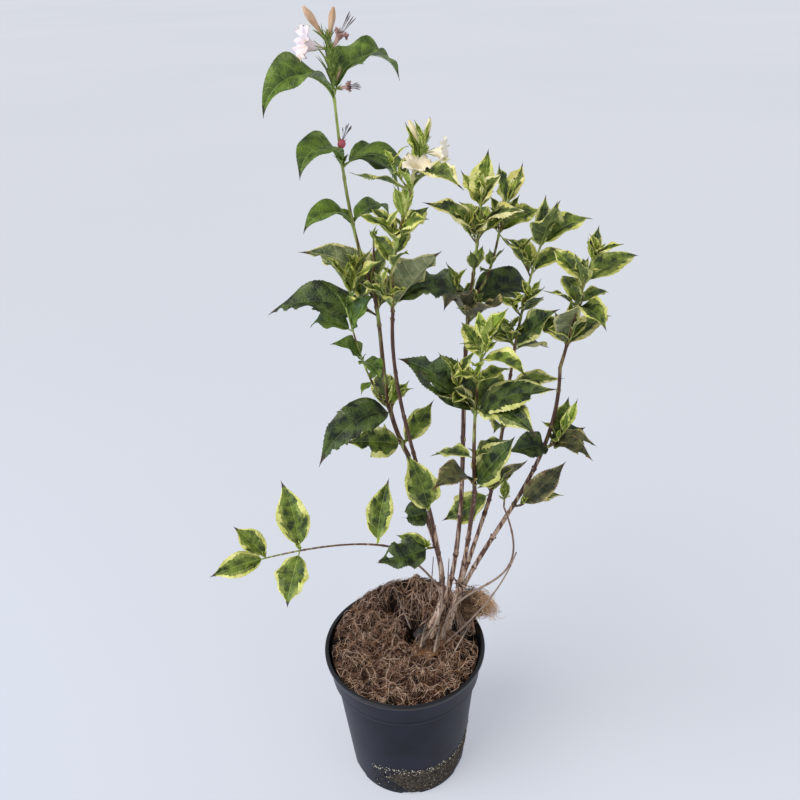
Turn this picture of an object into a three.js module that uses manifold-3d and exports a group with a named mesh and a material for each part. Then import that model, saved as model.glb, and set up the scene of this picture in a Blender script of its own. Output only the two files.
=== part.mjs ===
// A young variegated weigela in a round nursery pot: several canes from one crown, each ending
// in a leafy shoot, with two reverted green shoots and a few flowers at the top of the left side.
// Millimetres, +Z up, origin at the centre of the pot's flat underside. Bearings are degrees
// counter-clockwise seen from above, 0 along +X and 90 along +Y.
import * as THREE from "three";
import { mergeVertices } from "three/addons/utils/BufferGeometryUtils.js";
import Module from "manifold-3d";

const wasm = await Module();
wasm.setup();

// ---- Driving dimensions -------------------------------------------------------------------

const GAP = 0.3; // clearance between neighbouring solids

// The pot: an open shell of one thickness with a collar band, a rolled lip and drainage.
const POT = {
  height: 205,
  rimRadius: 105,
  baseRadius: 78,
  wall: 2.4,
  floor: 3,
  collarHeight: 38,
  collarStep: 5,
  collarTaper: 4.5,
  lipHeight: 5,
  lipOverhang: 2.5,
  lipRound: 0.8,
  footRound: 1.8,
  notches: 6,
  notchWidth: 24,
  notchHeight: 6,
  holes: 6,
  holeRadius: 6,
  holeCircle: 46,
};

// The potting mix: a disc of coir, heaped round the crown and in a ridge inside the back rim.
const SOIL = {
  edge: 193,
  ridge: 58,
  ridgeRadius: 68,
  ridgeSpread: 30,
  ridgeBearing: 70,
  ridgeArc: 55,
  heap: 13,
  heapSpread: 42,
  lump: 2.6,
  rings: 8,
};

// The crown from which the canes rise.
const CROWN = { at: [39, 7], foot: 190, top: 219, radius: 25, lump: 0.12 };

// The tuft of loose fibre that hangs over the rim at the back right.
const TUFT = { at: [98, 50], size: [27, 25, 15], height: 222 };

// Sides round a limb and steps along it.
const FACETS = {
  cane: { sides: 6, steps: 9 },
  shoot: { sides: 5, steps: 8 },
  stub: { sides: 5, steps: 2 },
};

// Leaf shape, as shares of the leaf's own straight length from stem to tip.
const LEAF = { petiole: 0.09, petioleRadius: 0.9, thick: 0.018, fold: 16, widest: 0.4 };

// Canes as cubic curves from the crown to where their leaves begin: [foot, two leans, tip].
const CANES = {
  cane_left_tall: {
    way: [[28, 14, 203], [79, 3, 312], [30, 8, 378], [13, 2, 498]],
    radii: [3.7, 2.7],
  },
  cane_left_slim: {
    way: [[31, -4, 203], [87, -22, 362], [-13, -22, 541], [2, -36, 692]],
    radii: [2.8, 1.8],
  },
  cane_middle_tall: {
    way: [[41, 25, 203], [89, 20, 337], [74, 45, 491], [84, 58, 622]],
    radii: [3.4, 2.3],
  },
  cane_middle_short: {
    way: [[43, -3, 203], [74, -3, 281], [80, -21, 388], [85, -34, 469]],
    radii: [3.1, 2.4],
  },
  cane_right_inner: {
    way: [[53, 16, 203], [69, 10, 280], [91, 23, 337], [111, 34, 406]],
    radii: [3.2, 2.5],
  },
  cane_right_outer: {
    way: [[56, 4, 203], [66, 0, 351], [188, -1, 450], [177, -6, 607]],
    radii: [3.4, 1.9],
  },
  twig_low_left: {
    way: [[20, -6, 203], [37, -24, 260], [86, -24, 303], [-8, -24, 386]],
    radii: [1.7, 1.3],
  },
  twig_low_right: {
    way: [[53, -10, 203], [36, -15, 349], [178, -16, 272], [120, -24, 439]],
    radii: [1.7, 1],
  },
  twig_low_right_dead: {
    way: [[42, -14, 203], [99, -12, 264], [121, -30, 321], [133, -44, 388]],
    radii: [1.3, 0.8],
  },
};

// Dead stubs of old shoots that stand in the mix: foot, reach and foot radius.
const STUBS = [
  { foot: [9, 30, 198], reach: [-21, -24, 104], radius: 1.2 },
  { foot: [19, -12, 198], reach: [8, -8, 58], radius: 1.7 },
  { foot: [36, -20, 196], reach: [9, -4, 60], radius: 1.7 },
  { foot: [60, -20, 196], reach: [26, 4, 58], radius: 1.1 },
  { foot: [34, 38, 208], reach: [7, -10, 116], radius: 0.9 },
  { foot: [56, 36, 208], reach: [5, -8, 112], radius: 0.9 },
];

// One leaf: its place along the shoot, compass bearing, rise of the straight line from stem
// to tip, that line's length, how far the blade arches, its turn about that line, and its width
// as a share of its length.
function leaf(at, bearing, rise, reach, arch = 45, turn = 0, wide = 0.44) {
  return { at, bearing, rise, reach, arch, turn, wide };
}

// A flower or bud on a shoot: kind, place, bearing, rise and length.
function bloom(kind, at, bearing, rise, length) {
  return { kind, at, bearing, rise, length };
}

// The foliage masses. Each grows on a limb, at whose tip or axis its first shoot's way starts,
// and a side shoot's way starts inside the first shoot of its mass.
const MASSES = {
  leaves_green_top: {
    on: "leaves_left_tall",
    shoots: [
      {
        way: [[-17, 0, 701], [-42, -4, 782], [-39, -4, 847], [-45, -6, 934]],
        radii: [1.9, 1.1],
        leaves: [
          leaf(0.3, 218, 4, 58, 110),
          leaf(0.3, 48, -4, 56, 100),
          leaf(0.29, 160, 50, 24, 20),
          leaf(0.54, 226, 0, 52, 170, 0, 0.6),
          leaf(0.54, 350, -22, 68, 145, 0, 0.42),
          leaf(0.55, 30, -34, 70, 120, 0, 0.5),
          leaf(0.54, 168, 56, 43, 20, 0, 0.26),
          leaf(0.8, 222, -2, 80, 140, 0, 0.44),
          leaf(0.81, 36, 5, 76, 145, 0, 0.46),
        ],
        blooms: [
          bloom("flower", 0.97, 205, 14, 32),
          bloom("bud", 0.99, 182, 58, 36),
          bloom("bud", 0.98, 20, 76, 32),
          bloom("flower", 0.95, 345, 52, 26),
          bloom("bud", 0.84, 350, 24, 24),
          bloom("bud", 0.84, 20, 66, 20),
          bloom("bud", 0.58, 330, 62, 24),
        ],
      },
    ],
  },
  leaves_left_tall: {
    on: "cane_left_tall",
    shoots: [
      {
        way: [[13, 2, 498], [-19, 1, 571], [-6, 1, 636], [-17, 0, 701]],
        radii: [2.8, 1.9],
        leaves: [
          leaf(0.07, 205, 20, 72, 25, -60, 0.52),
          leaf(0.06, 55, 22, 66, 35, 20, 0.4),
          leaf(0.26, 213, -17, 94, 140, -15, 0.42),
          leaf(0.26, 100, 10, 72, 60),
          leaf(0.31, 340, 78, 40, 20, 20, 0.34),
          leaf(0.31, 50, 20, 38, 30),
          leaf(0.85, 180, 4, 114, 75, -10, 0.36),
          leaf(0.88, 60, -5, 74, 70),
          leaf(0.94, 160, 28, 88, 85, 10, 0.38),
        ],
      },
      {
        way: [[-16, 1, 688], [-16, 9, 706], [-15, 14, 728], [-14, 17, 748]],
        radii: [1.5, 1.1],
        leaves: [leaf(0.3, 80, 35, 46, 30)],
      },
    ],
  },
  leaves_left_side: {
    on: "leaves_left_tall",
    shoots: [
      {
        way: [[-6, 1, 560], [-30, -9, 603], [-36, -18, 652], [-44, -26, 694]],
        radii: [1.3, 0.8],
        leaves: [
          leaf(0.3, 240, -5, 24, 30),
          leaf(0.32, 75, 5, 22, 20),
          leaf(0.5, 208, 42, 46, 40, -25, 0.5),
          leaf(0.5, 295, 0, 46, 60, 0, 0.5),
          leaf(0.78, 155, 0, 52, 60, -15, 0.48),
          leaf(0.79, 325, 58, 54, 30, 40, 0.5),
          leaf(0.98, 200, 62, 26, 20, -20, 0.34),
          leaf(0.98, 40, 55, 22, 20, 20, 0.34),
        ],
      },
    ],
  },
  leaves_left_low: {
    on: "cane_left_slim",
    shoots: [
      {
        way: [[35, -21, 434], [35, -25, 437], [34, -28, 440], [33, -31, 443]],
        radii: [1.2, 1],
        leaves: [leaf(0.8, 188, 74, 88, 25, -70, 0.42), leaf(0.7, 200, 2, 36, 20, -50, 0.86)],
      },
    ],
  },
  leaves_left_foot: {
    on: "cane_left_slim",
    shoots: [
      {
        way: [[43, -18, 379], [36, -23, 382], [34, -25, 384], [31, -26, 385]],
        radii: [1.2, 1],
        leaves: [leaf(0.6, 205, 4, 72, 30, -30, 0.52), leaf(0.5, 165, 16, 44, 30, -30, 0.4)],
      },
    ],
  },
  leaves_left_slim: {
    on: "cane_left_slim",
    shoots: [
      {
        way: [[2, -36, 692], [-3, -38, 749], [22, -41, 805], [36, -44, 855]],
        radii: [1.9, 1.2],
        leaves: [
          leaf(0.02, 350, 50, 76, 30, -60, 0.6),
          leaf(0.03, 28, -8, 78, 100),
          leaf(0.02, 226, 40, 60, 40, 0, 0.4),
          leaf(0.27, 300, 38, 38, 40),
          leaf(0.28, 120, 30, 40, 40),
          leaf(0.34, 60, 30, 36, 30, 20),
          leaf(0.42, 308, 34, 56, 50, 20, 0.36),
          leaf(0.44, 50, 20, 52, 40, 20, 0.36),
          leaf(0.42, 214, 36, 56, 50, 0, 0.34),
          leaf(0.43, 130, 30, 46, 40, 0, 0.34),
          leaf(0.55, 250, 60, 42, 20, 0, 0.28),
          leaf(0.56, 60, 62, 40, 20, 0, 0.28),
          leaf(0.71, 310, 8, 64, 110),
          leaf(0.71, 150, 6, 64, 40, 45, 0.36),
          leaf(0.72, 235, 48, 34, 20),
          leaf(0.87, 150, 68, 36, 15, 0, 0.56),
          leaf(0.88, 70, 20, 28, 20),
        ],
        blooms: [
          bloom("bud", 0.94, 165, 66, 28),
          bloom("bud", 0.95, 30, 72, 26),
          bloom("flower", 0.93, 345, 2, 25),
          bloom("flower", 0.77, 290, 60, 24),
        ],
      },
    ],
  },
  leaves_middle_tall: {
    on: "cane_middle_tall",
    shoots: [
      {
        way: [[84, 58, 622], [88, 59, 680], [98, 61, 737], [99, 62, 786]],
        radii: [2.3, 1.1],
        leaves: [
          leaf(0.06, 298, 32, 80, 50, -20),
          leaf(0.06, 245, 30, 84, 130, 10, 0.4),
          leaf(0.18, 35, 2, 92, 60, 20, 0.5),
          leaf(0.18, 145, 5, 84, 70),
          leaf(0.42, 250, 60, 30, 20),
          leaf(0.42, 60, 40, 32, 20),
          leaf(0.6, 192, 38, 76, 75, -5, 0.38),
          leaf(0.62, 321, 34, 72, 90, 10, 0.4),
          leaf(0.62, 80, 25, 56, 60),
          leaf(0.75, 138, 30, 32, 30),
          leaf(0.82, 60, 72, 62, 15, 0, 0.46),
          leaf(0.85, 320, 56, 46, 15, 40, 0.46),
          leaf(0.85, 140, 50, 42, 15),
        ],
      },
      {
        way: [[86, 59, 655], [122, 68, 690], [114, 76, 740], [135, 84, 773]],
        radii: [1.8, 1],
        leaves: [
          leaf(0.3, 240, 20, 26, 20),
          leaf(0.34, 85, 20, 28, 20),
          leaf(0.36, 315, 50, 28, 20),
          leaf(0.62, 25, 16, 56, 60, 20, 0.4),
          leaf(0.62, 125, 5, 54, 60),
          leaf(0.85, 210, 72, 50, 15, -50, 0.46),
          leaf(0.87, 49, 48, 46, 15, 20),
        ],
      },
    ],
  },
  leaves_middle_short: {
    on: "cane_middle_short",
    shoots: [
      {
        way: [[85, -34, 469], [81, -43, 548], [81, -51, 611], [90, -62, 680]],
        radii: [2.4, 1],
        leaves: [
          leaf(0.03, 340, 58, 88, 25, 50),
          leaf(0.04, 226, 25, 78, 90, 10),
          leaf(0.22, 140, -20, 62, 40),
          leaf(0.22, 35, 0, 52, 50),
          leaf(0.49, 333, 28, 96, 70, 15),
          leaf(0.51, 208, 34, 60, 40, 0, 0.34),
          leaf(0.54, 220, 46, 52, 30, 0, 0.36),
          leaf(0.49, 160, 34, 98, 90, -20, 0.42),
          leaf(0.5, 192, 44, 84, 30, -15, 0.38),
          leaf(0.51, 308, 6, 84, 80),
          leaf(0.5, 60, 10, 74, 60),
          leaf(0.69, 36, 0, 48, 50),
          leaf(0.69, 222, 30, 44, 50, 0, 0.36),
          leaf(0.83, 310, 4, 60, 60, 10),
          leaf(0.83, 100, 6, 48, 50),
          leaf(0.85, 108, 18, 52, 40, 0, 0.4),
          leaf(0.78, 250, 34, 34, 30),
          leaf(0.93, 100, 55, 34, 20, 0, 0.34),
          leaf(0.93, 295, 66, 34, 20, 0, 0.34),
          leaf(0.93, 35, 40, 42, 30, 0, 0.4),
        ],
      },
    ],
  },
  leaves_right_inner: {
    on: "cane_right_inner",
    shoots: [
      {
        way: [[111, 34, 406], [132, 36, 518], [127, 38, 637], [164, 40, 745]],
        radii: [2.5, 1.1],
        leaves: [
          leaf(0.03, 155, -44, 80, 30, -60, 0.46),
          leaf(0.04, 322, 50, 74, 35, -50),
          leaf(0.3, 80, 10, 74, 60),
          leaf(0.3, 250, 25, 56, 50),
          leaf(0.45, 350, 10, 60, 60),
          leaf(0.45, 165, 15, 44, 60),
          leaf(0.6, 322, 50, 76, 30, 30, 0.46),
          leaf(0.59, 40, -20, 62, 60),
          leaf(0.6, 130, 0, 64, 60),
          leaf(0.64, 235, 28, 42, 30),
          leaf(0.71, 205, 38, 44, 40, 0, 0.36),
          leaf(0.72, 313, 50, 48, 30, 20, 0.36),
          leaf(0.72, 50, 0, 48, 40),
          leaf(0.84, 190, 50, 62, 45, 25, 0.4),
          leaf(0.85, 28, 0, 60, 95, 0, 0.4),
          leaf(0.86, 110, 20, 52, 60),
          leaf(0.93, 297, 62, 60, 30, -10, 0.62),
          leaf(0.94, 18, 20, 64, 75, 20),
          leaf(0.96, 74, 76, 46, 15, 0, 0.34),
          leaf(0.97, 50, 44, 44, 20, 0, 0.34),
        ],
      },
    ],
  },
  leaves_right_outer: {
    on: "cane_right_outer",
    shoots: [
      {
        way: [[177, -6, 607], [187, -7, 652], [190, -8, 695], [204, -10, 739]],
        radii: [2, 1],
        leaves: [
          leaf(0.18, 290, 63, 74, 60, 0, 0.66),
          leaf(0.18, 36, 14, 72, 50),
          leaf(0.19, 120, 12, 50, 60),
          leaf(0.51, 191, 30, 44, 50, 0, 0.36),
          leaf(0.54, 215, 66, 30, 15, 0, 0.4),
          leaf(0.54, 33, 4, 46, 50, 0, 0.36),
          leaf(0.52, 285, 0, 60, 60),
          leaf(0.53, 100, 20, 50, 50),
          leaf(0.7, 230, 58, 48, 20, 10, 0.56),
          leaf(0.71, 27, 14, 72, 55, 10, 0.4),
          leaf(0.72, 130, 30, 50, 40),
          leaf(0.89, 55, 71, 36, 15, 0, 0.36),
          leaf(0.9, 311, 34, 42, 40, 0, 0.3),
          leaf(0.9, 225, 64, 30, 15, 0, 0.44),
        ],
      },
    ],
  },
  leaves_right_side: {
    on: "cane_right_outer",
    shoots: [
      {
        way: [[166, -3, 503], [175, -11, 512], [180, -12, 520], [185, -13, 530]],
        radii: [1.5, 1],
        leaves: [
          leaf(0.1, 208, 12, 56, 60, -20, 0.56),
          leaf(0.2, 20, 14, 46, 50, 20, 0.56),
          leaf(0.3, 304, 12, 62, 40, 0, 0.4),
          leaf(0.4, 345, 0, 44, 90, 0, 0.5),
          leaf(0.6, 60, 45, 50, 30),
          leaf(0.98, 40, 58, 40, 20, 0, 0.3),
          leaf(0.98, 60, 72, 26, 20, 0, 0.4),
        ],
      },
    ],
  },
  leaves_right_low: {
    on: "cane_right_outer",
    shoots: [
      {
        way: [[135, -1, 422], [141, -8, 427], [143, -10, 430], [145, -12, 433]],
        radii: [1.3, 1],
        leaves: [leaf(0.5, 0, 50, 78, 25, 50, 0.36), leaf(0.5, 15, 0, 56, 40, 0, 0.3)],
      },
    ],
  },
  leaves_low_right: {
    on: "twig_low_right",
    shoots: [
      {
        way: [[120, -24, 439], [120, -25, 446], [120, -25, 450], [120, -25, 454]],
        radii: [1, 0.8],
        leaves: [leaf(0.6, 80, 45, 26, 20), leaf(0.6, 260, 40, 28, 20)],
      },
    ],
  },
  leaves_low_left: {
    on: "twig_low_left",
    shoots: [
      {
        way: [[-8, -24, 386], [-48, -24, 401], [-110, -27, 394], [-161, -30, 383]],
        radii: [1.3, 0.9],
        leaves: [
          leaf(0.15, 69, 53, 79, 20, 0, 0.4),
          leaf(0.73, 112, 55, 84, 20, 0, 0.45),
          leaf(0.73, 252, -40, 66, 20, 0, 0.6),
          leaf(0.98, 155, 40, 52, 30, 0, 0.52),
          leaf(0.98, 201, -4, 66, 50, -30, 0.44),
        ],
      },
    ],
  },
};

// Blossom profiles in units of the bloom's length: [radius, height] from the foot to the axis.
const BLOOMS = {
  flower: {
    sides: 10,
    lobes: 0.3,
    profile: [[0, 0], [0.05, 0], [0.13, 0.66], [0.42, 1], [0.1, 0.7], [0, 0.5]],
  },
  bud: {
    sides: 5,
    lobes: 0,
    profile: [[0, 0], [0.05, 0], [0.13, 0.72], [0, 1]],
  },
};

const COLOURS = {
  pot: [0x23272c, 0.62],
  soil: [0x6b4c30, 0.98],
  fibre: [0x8a6238, 0.98],
  bark: [0x7a6350, 0.85],
  twig: [0x5a3a2c, 0.8],
  dead: [0x9a8d78, 0.9],
  green: [0x3f6b2a, 0.6],
  variegated: [0x5f7d35, 0.6],
};

// ---- Helpers ------------------------------------------------------------------------------

const radians = THREE.MathUtils.degToRad;
const BACK = new THREE.Vector3(0, 1, 0);

// A closed geometry as a solid that can be joined and cut.
function solid(geometry) {
  const bare = geometry.clone();
  bare.deleteAttribute("normal");
  bare.deleteAttribute("uv");
  const merged = mergeVertices(bare, 1e-4);
  const vertProperties = new Float32Array(merged.attributes.position.array);
  const triVerts = new Uint32Array(merged.index.array);
  return new wasm.Manifold(new wasm.Mesh({ numProp: 3, vertProperties, triVerts }));
}

// A solid back as a geometry for a mesh.
function geometryOf(body) {
  const { numProp, vertProperties, triVerts, numVert } = body.getMesh();
  const places = new Float32Array(numVert * 3);
  for (let i = 0; i < numVert; i += 1) {
    places.set(vertProperties.subarray(i * numProp, i * numProp + 3), i * 3);
  }
  const geometry = new THREE.BufferGeometry();
  geometry.setAttribute("position", new THREE.BufferAttribute(places, 3));
  geometry.setIndex(new THREE.BufferAttribute(triVerts, 1));
  geometry.computeVertexNormals();
  return geometry;
}

// Moves each vertex of a geometry to where `place(x, y, z)` puts it.
function deform(geometry, place) {
  const spots = geometry.attributes.position;
  for (let i = 0; i < spots.count; i += 1) {
    const p = place(spots.getX(i), spots.getY(i), spots.getZ(i));
    spots.setXYZ(i, p.x, p.y, p.z);
  }
  return geometry;
}

function curveOf(way) {
  return new THREE.CubicBezierCurve3(...way.map((p) => new THREE.Vector3(...p)));
}

// A limb: a closed cylinder carried along its curve, with its radius running from foot to tip.
// `extra` makes it thicker and longer at both ends, for cutting its seat out of a neighbour.
function limb({ way, radii }, { sides, steps }, extra = 0) {
  const curve = curveOf(way);
  const tube = new THREE.CylinderGeometry(1, 1, 1, sides, steps);
  return solid(
    deform(tube, (x, y, z) => {
      const t = y + 0.5;
      const along = curve.getTangent(t);
      const side = along.clone().cross(BACK).normalize();
      const front = side.clone().cross(along);
      const radius = THREE.MathUtils.lerp(radii[0], radii[1], t) + extra;
      const spot = curve.getPoint(t).addScaledVector(side, x * radius);
      spot.addScaledVector(front, z * radius);
      const end = t === 0 ? -extra : t === 1 ? extra : 0;
      return spot.addScaledVector(along, end);
    }),
  );
}

// Half the blade's width at a share u of the way from stem to tip.
function halfWidth({ reach, wide }, u) {
  const s = (u - LEAF.petiole) / (1 - LEAF.petiole);
  if (s <= 0 || s >= 1) return s <= 0 ? LEAF.petioleRadius : 0;
  const { widest } = LEAF;
  const swell = (s / widest) ** (2 * widest) * ((1 - s) / (1 - widest)) ** (2 * (1 - widest));
  return Math.max(LEAF.petioleRadius, 0.5 * reach * wide * swell);
}

// The frame of a leaf at u: its midrib runs along a circular arc whose chord has the leaf's
// bearing, rise and reach, and the whole blade is turned about that chord.
function leafFrame(root, { bearing, rise, reach, arch, turn }, u) {
  const bend = radians(Math.max(arch, 1));
  const start = radians(rise) + bend / 2;
  const slope = start - bend * u;
  const radius = (0.5 * reach) / Math.sin(bend / 2);
  const out = radius * (Math.sin(start) - Math.sin(slope));
  const up = radius * (Math.cos(slope) - Math.cos(start));
  const heading = new THREE.Vector3(Math.cos(radians(bearing)), Math.sin(radians(bearing)), 0);
  const aim = (outward, upward) => heading.clone().multiplyScalar(outward).setZ(upward);
  const chord = aim(Math.cos(radians(rise)), Math.sin(radians(rise)));
  const roll = (v) => v.applyAxisAngle(chord, radians(turn));
  return {
    spot: roll(aim(out, up)).add(root),
    along: roll(aim(Math.cos(slope), Math.sin(slope))),
    normal: roll(aim(-Math.sin(slope), Math.cos(slope))),
  };
}

// A leaf: a four-sided cone flattened to a keeled blade, its root at the middle of the stem.
// The first step is the petiole, and a strongly arched or long blade has more steps.
function leafSolid(root, shape) {
  const steps = 4 + (shape.reach > 60 ? 1 : 0) + (shape.arch > 95 ? 1 : 0);
  const cone = new THREE.ConeGeometry(1, 1, 4, steps);
  return solid(
    deform(cone, (x, y, z) => {
      const step = Math.round((y + 0.5) * steps);
      const blade = (step - 1) / (steps - 1);
      const u = step === 0 ? 0 : LEAF.petiole + (1 - LEAF.petiole) * blade;
      const { spot, along, normal } = leafFrame(root, shape, u);
      const size = Math.hypot(x, z) || 1;
      const side = Math.round(x / size);
      const face = Math.round(z / size);
      const width = halfWidth(shape, u);
      const lift = step > 1 ? Math.abs(side) * width * Math.sin(radians(LEAF.fold)) : 0;
      const depth = step > 1 ? Math.max(LEAF.thick * shape.reach * 0.5, 0.35) : LEAF.petioleRadius;
      spot.addScaledVector(along.cross(normal), side * width);
      return spot.addScaledVector(normal, lift + face * depth);
    }),
  );
}

// A flower or bud: a lathed bell or spindle whose rim is drawn out into lobes.
function bloomSolid(root, { kind, bearing, rise, length }) {
  const { sides, lobes, profile } = BLOOMS[kind];
  const points = profile.map(([radius, height]) => new THREE.Vector2(radius * length, height * length));
  const bell = new THREE.LatheGeometry(points, sides);
  const widest = Math.max(...points.map((p) => p.x));
  deform(bell, (x, y, z) => {
    const radius = Math.hypot(x, z);
    const lobe = Math.round((Math.atan2(x, z) / (2 * Math.PI)) * sides) % 2 === 0 ? 1 : 1 - lobes;
    const keep = radius > 0.9 * widest ? lobe : 1;
    return new THREE.Vector3(x * keep, y, z * keep);
  });
  const flat = Math.cos(radians(rise));
  const aim = new THREE.Vector3(
    flat * Math.cos(radians(bearing)),
    flat * Math.sin(radians(bearing)),
    Math.sin(radians(rise)),
  );
  bell.applyQuaternion(new THREE.Quaternion().setFromUnitVectors(BACK, aim));
  bell.translate(root.x, root.y, root.z);
  return solid(bell);
}

// One foliage mass: its shoots with their leaves and blooms, all fused, clear of its carrier.
function mass({ on, shoots }) {
  let whole = null;
  for (const shoot of shoots) {
    const curve = curveOf(shoot.way);
    const pieces = [limb(shoot, FACETS.shoot)];
    for (const shape of shoot.leaves) pieces.push(leafSolid(curve.getPoint(shape.at), shape));
    for (const shape of shoot.blooms ?? []) pieces.push(bloomSolid(curve.getPoint(shape.at), shape));
    for (const piece of pieces) whole = whole ? whole.add(piece) : piece;
  }
  const onCane = on in CANES;
  const carrier = onCane ? CANES[on] : MASSES[on].shoots[0];
  return whole.subtract(limb(carrier, onCane ? FACETS.cane : FACETS.shoot, GAP));
}

// ---- Pot, mix, crown and fibre --------------------------------------------------------------

const collarRadius = POT.rimRadius - POT.lipOverhang; // the collar's outside, under the lip
const bodyRadius = collarRadius - POT.collarTaper - POT.collarStep; // the body's, under the collar
const bodyTop = POT.height - POT.collarHeight - POT.collarStep;

// The pot's outside, from the middle of its underside up to the top of its lip.
function potOuter() {
  const { height, rimRadius, baseRadius, collarHeight, collarStep, lipHeight, lipRound, footRound } = POT;
  return [
    [0, 0],
    [baseRadius - footRound, 0],
    [baseRadius, footRound],
    [bodyRadius, bodyTop],
    [bodyRadius + collarStep, height - collarHeight],
    [collarRadius, height - lipHeight],
    [rimRadius - lipRound, height - lipHeight + lipRound / 2],
    [rimRadius, height - lipHeight / 2],
    [rimRadius - lipRound, height],
  ];
}

// The inside radius of the pot at a height above the body's top.
function insideCollar(z) {
  const share = (z - bodyTop) / (POT.height - bodyTop);
  return THREE.MathUtils.lerp(bodyRadius, collarRadius, share) - POT.wall;
}

function pot() {
  const { height, baseRadius, wall, floor } = POT;
  const inner = [
    [insideCollar(height), height],
    [insideCollar(bodyTop), bodyTop],
    [baseRadius - wall, floor],
    [0, floor],
  ];
  const profile = [...potOuter(), ...inner].map((p) => new THREE.Vector2(...p));
  const shell = new THREE.LatheGeometry(profile, 48).rotateX(Math.PI / 2);
  let body = solid(shell);
  for (let k = 0; k < POT.notches; k += 1) {
    const angle = ((k + 0.5) / POT.notches) * 2 * Math.PI;
    const notch = new THREE.CylinderGeometry(POT.notchHeight, POT.notchHeight, 2 * POT.wall, 10);
    notch.scale(POT.notchWidth / 2 / POT.notchHeight, 1, 1);
    notch.translate(0, POT.baseRadius, 0);
    notch.rotateZ(angle - Math.PI / 2);
    body = body.subtract(solid(notch));
  }
  for (let k = 0; k < POT.holes; k += 1) {
    const angle = (k / POT.holes) * 2 * Math.PI;
    const drill = new THREE.CylinderGeometry(POT.holeRadius, POT.holeRadius, 4 * POT.floor, 10);
    drill.rotateX(Math.PI / 2);
    drill.translate(POT.holeCircle * Math.cos(angle), POT.holeCircle * Math.sin(angle), 0);
    body = body.subtract(solid(drill));
  }
  return body;
}

// Height of the mix's surface: a level edge, a ridge that follows the back of the rim, and lumps.
function soilHeight(x, y, brim) {
  const { edge, ridge, ridgeRadius, ridgeSpread, ridgeBearing, ridgeArc, heap, heapSpread, lump } = SOIL;
  const out = Math.hypot(x, y);
  const across = (out - ridgeRadius) / ridgeSpread;
  const round = (THREE.MathUtils.radToDeg(Math.atan2(y, x)) - ridgeBearing) / ridgeArc;
  const toCrown = Math.hypot(x - CROWN.at[0], y - CROWN.at[1]) / heapSpread;
  const swell = ridge * Math.exp(-(across ** 2) - round ** 2) + heap * Math.exp(-(toCrown ** 2));
  const lumps = Math.sin(0.19 * x + 1.3) * Math.cos(0.23 * y) + 0.6 * Math.sin(0.37 * y - 0.29 * x);
  return edge + (swell + lump * lumps) * (1 - (out / brim) ** 10);
}

function soil() {
  const { baseRadius, wall, floor } = POT;
  const seat = GAP * 2;
  const brim = insideCollar(SOIL.edge) - seat;
  const marker = bodyTop + 1; // every point of the top surface starts here and is then raised
  const profile = [
    [0, floor + seat],
    [baseRadius - wall - seat, floor + seat],
    [insideCollar(bodyTop) - seat, bodyTop],
  ];
  for (let k = 0; k < SOIL.rings; k += 1) {
    profile.push([brim * (1 - k / SOIL.rings), marker]);
  }
  profile.push([0, marker]);
  const points = profile.map((p) => new THREE.Vector2(...p));
  const disc = new THREE.LatheGeometry(points, 32).rotateX(Math.PI / 2);
  deform(disc, (x, y, z) => new THREE.Vector3(x, y, z > bodyTop + 0.5 ? soilHeight(x, y, brim) : z));
  return solid(disc);
}

// The crown: a low rounded stool with a lumpy outline.
function crown(extra = 0) {
  const { at, foot, top, radius, lump } = CROWN;
  const dome = new THREE.SphereGeometry(1, 14, 8).rotateX(Math.PI / 2);
  deform(dome, (x, y, z) => {
    const bulge = 1 + lump * Math.sin(5 * Math.atan2(y, x)) * Math.hypot(x, y);
    const wide = (radius + extra) * bulge;
    const tall = (top - foot) / 2 + extra;
    return new THREE.Vector3(at[0] + x * wide, at[1] + y * wide, (top + foot) / 2 + z * tall);
  });
  return solid(dome);
}

function tuft(extra = 0) {
  const { at, height } = TUFT;
  const size = TUFT.size.map((v) => v + extra);
  const clump = new THREE.SphereGeometry(1, 14, 8);
  deform(clump, (x, y, z) => {
    const rough = 1 + 0.18 * Math.sin(5 * x + 3 * y) * Math.cos(4 * y - 2 * z);
    const spot = new THREE.Vector3(x * size[0], y * size[1], z * size[2]).multiplyScalar(rough);
    return spot.add(new THREE.Vector3(at[0], at[1], height));
  });
  return solid(clump);
}

// ---- Assembly -------------------------------------------------------------------------------

const plant = new THREE.Group();

function put(name, body, [color, roughness]) {
  const mesh = new THREE.Mesh(
    geometryOf(body),
    new THREE.MeshStandardMaterial({ color, roughness, metalness: 0 }),
  );
  mesh.name = name;
  plant.add(mesh);
}

const stubWays = STUBS.map(({ foot, reach, radius }) => {
  const along = (share) => foot.map((v, i) => v + share * reach[i]);
  return { way: [foot, along(0.35), along(0.7), along(1)], radii: [radius, radius * 0.6] };
});

let mix = soil().subtract(crown(GAP));
for (const stub of stubWays) mix = mix.subtract(limb(stub, FACETS.stub, GAP));
for (const cane of Object.values(CANES)) mix = mix.subtract(limb(cane, FACETS.cane, GAP));
mix = mix.subtract(tuft(GAP));

put("pot", pot(), COLOURS.pot);
put("soil", mix, COLOURS.soil);
put("crown", crown(), COLOURS.bark);
put("fibre_tuft", tuft(), COLOURS.fibre);

for (const [name, cane] of Object.entries(CANES)) {
  const woody = name.startsWith("cane");
  const body = limb(cane, FACETS.cane).subtract(crown(GAP));
  put(name, body, woody ? COLOURS.bark : COLOURS.twig);
}

stubWays.forEach((stub, k) => {
  const body = limb(stub, FACETS.stub).subtract(crown(GAP));
  put(`dead_stub_${k + 1}`, body, COLOURS.dead);
});

for (const [name, shoots] of Object.entries(MASSES)) {
  const plain = name === "leaves_green_top" || name === "leaves_left_side";
  put(name, mass(shoots), plain ? COLOURS.green : COLOURS.variegated);
}

export default plant;
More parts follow.
